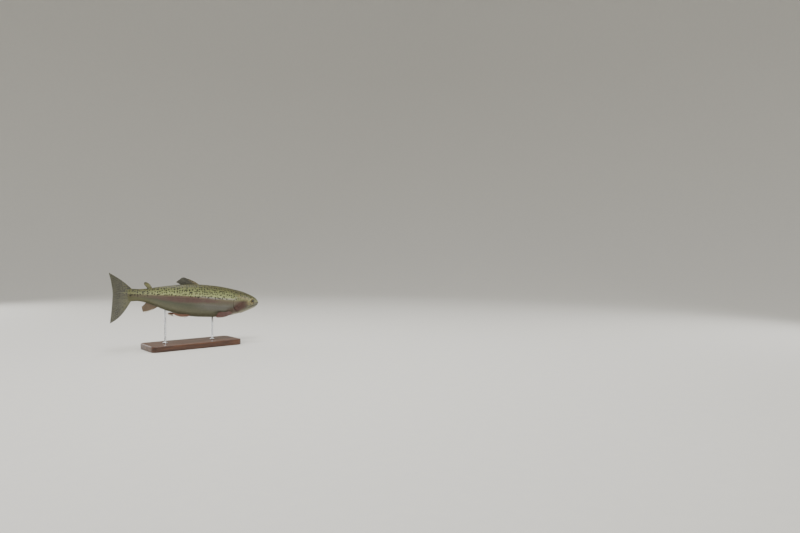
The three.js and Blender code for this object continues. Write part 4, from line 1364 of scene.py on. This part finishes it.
# name, place, size and power
LIGHTS = [
    ("Key", (-0.6, -1.4, 2.3), 1.3, 50), ("Top", (0.2, 0.0, 2.6), 1.6, 42),
    ("Fill", (1.9, -1.3, 0.9), 1.4, 12), ("Back", (-0.8, 2.1, 0.9), 1.4, 20),
]
LIGHTS_AIM = Vector((0, 0, 0.15))
DAYLIGHT, DAYLIGHT_STRENGTH = (1.0, 0.99, 0.97, 1), 0.5
STUDIO_RADIUS, STUDIO_SWEEP, STUDIO_WALL, STUDIO_SIDES = 5.2, 2.6, 5.0, 96


def area_light(name, place, size, power):
    data = bpy.data.lights.new(name, "AREA")
    data.shape, data.size, data.energy = "DISK", size, power
    light = bpy.data.objects.new(name, data)
    light.location = place
    light.rotation_mode = "QUATERNION"
    light.rotation_quaternion = (LIGHTS_AIM - Vector(place)).to_track_quat("-Z", "Y")
    bpy.context.scene.collection.objects.link(light)


def studio_floor(stage):
    """A paper floor that sweeps up into a round wall."""
    shader = Shader("Backdrop paper")
    fibre = shader.noise(shader.place(), 40, 4)
    tone = shader.mix(shader.ease(fibre, 0.3, 0.7, 0.0, 0.06), stage.paper, (0.5, 0.5, 0.5))
    paper = shader.finish(Base_Color=tone, Roughness=0.9)
    flat, sweep = STUDIO_RADIUS - STUDIO_SWEEP, STUDIO_SWEEP
    arc = np.linspace(0, math.pi / 2, 16)[1:]
    profile = [(0, 0), (flat, 0), *((flat + sweep * math.sin(t), sweep - sweep * math.cos(t)) for t in arc),
               (STUDIO_RADIUS, STUDIO_WALL)]
    faces = [grid_faces(len(profile), STUDIO_SIDES, 0, wrap=True)]
    return make_piece("studio_sweep", turned_points(profile, STUDIO_SIDES), faces, None, paper)


class TROUT_OT_stage(Operator):
    """Adds the floor, backdrop, lights and camera"""
    bl_idname = "trout.stage"
    bl_label = "Add Stage"

    def execute(self, context):
        scene, stage, form = context.scene, context.scene.trout_stage, context.scene.trout_form
        studio_floor(stage)
        world = bpy.data.worlds.new("Studio")
        scene.world = world
        world.use_nodes = True
        background = world.node_tree.nodes["Background"].inputs
        background[0].default_value, background[1].default_value = DAYLIGHT, DAYLIGHT_STRENGTH
        for light in LIGHTS:
            area_light(*light)

        camera = bpy.data.objects.new("Camera", bpy.data.cameras.new("Camera"))
        scene.collection.objects.link(camera)
        camera.data.lens = stage.lens
        camera.data.sensor_width = 36
        out = Vector((-math.sin(stage.heads_away) * math.cos(stage.elevation),
                      -math.cos(stage.heads_away) * math.cos(stage.elevation), math.sin(stage.elevation)))
        camera.location = MM * (stage.distance * out + Vector((0, form.side_shift, form.axis_height)))
        look = Vector((math.cos(stage.aim) * math.cos(stage.dip), math.sin(stage.aim) * math.cos(stage.dip),
                       -math.sin(stage.dip)))
        camera.rotation_mode = "QUATERNION"
        camera.rotation_quaternion = look.to_track_quat("-Z", "Y")
        camera.data.clip_start, camera.data.clip_end = 0.01, 50
        scene.camera = camera
        return {"FINISHED"}


# --- add-on


class TROUT_PT_panel(Panel):
    """Sidebar panel that lists the pieces and their settings"""
    bl_idname = "TROUT_PT_panel"
    bl_label = "Rainbow Trout"
    bl_space_type = "VIEW_3D"
    bl_region_type = "UI"
    bl_category = "Trout"

    def draw(self, context):
        column = self.layout.column(align=True)
        for operator in OPERATORS:
            column.operator(operator.bl_idname)
        for group in SETTINGS:
            box = self.layout.box()
            for name in SETTINGS[group].__annotations__:
                box.prop(getattr(context.scene, group), name)


SETTINGS = {
    "trout_form": TroutForm,
    "trout_coat": TroutCoat,
    "trout_colours": TroutColours,
    "trout_stage": TroutStage,
}
OPERATORS = (TROUT_OT_skin, TROUT_OT_scales, TROUT_OT_fins, TROUT_OT_eyes, TROUT_OT_stand, TROUT_OT_stage)


def register():
    for cls in (*SETTINGS.values(), *OPERATORS, TROUT_PT_panel):
        bpy.utils.register_class(cls)
    for name, group in SETTINGS.items():
        setattr(bpy.types.Scene, name, PointerProperty(type=group))


def unregister():
    for name in SETTINGS:
        delattr(bpy.types.Scene, name)
    for cls in reversed((*SETTINGS.values(), *OPERATORS, TROUT_PT_panel)):
        bpy.utils.unregister_class(cls)


def main():
    register()
    bpy.ops.trout.stage()
    bpy.ops.trout.skin()
    bpy.ops.trout.scales()
    bpy.ops.trout.fins()
    bpy.ops.trout.eyes()
    bpy.ops.trout.stand()


if __name__ == "__main__":
    main()
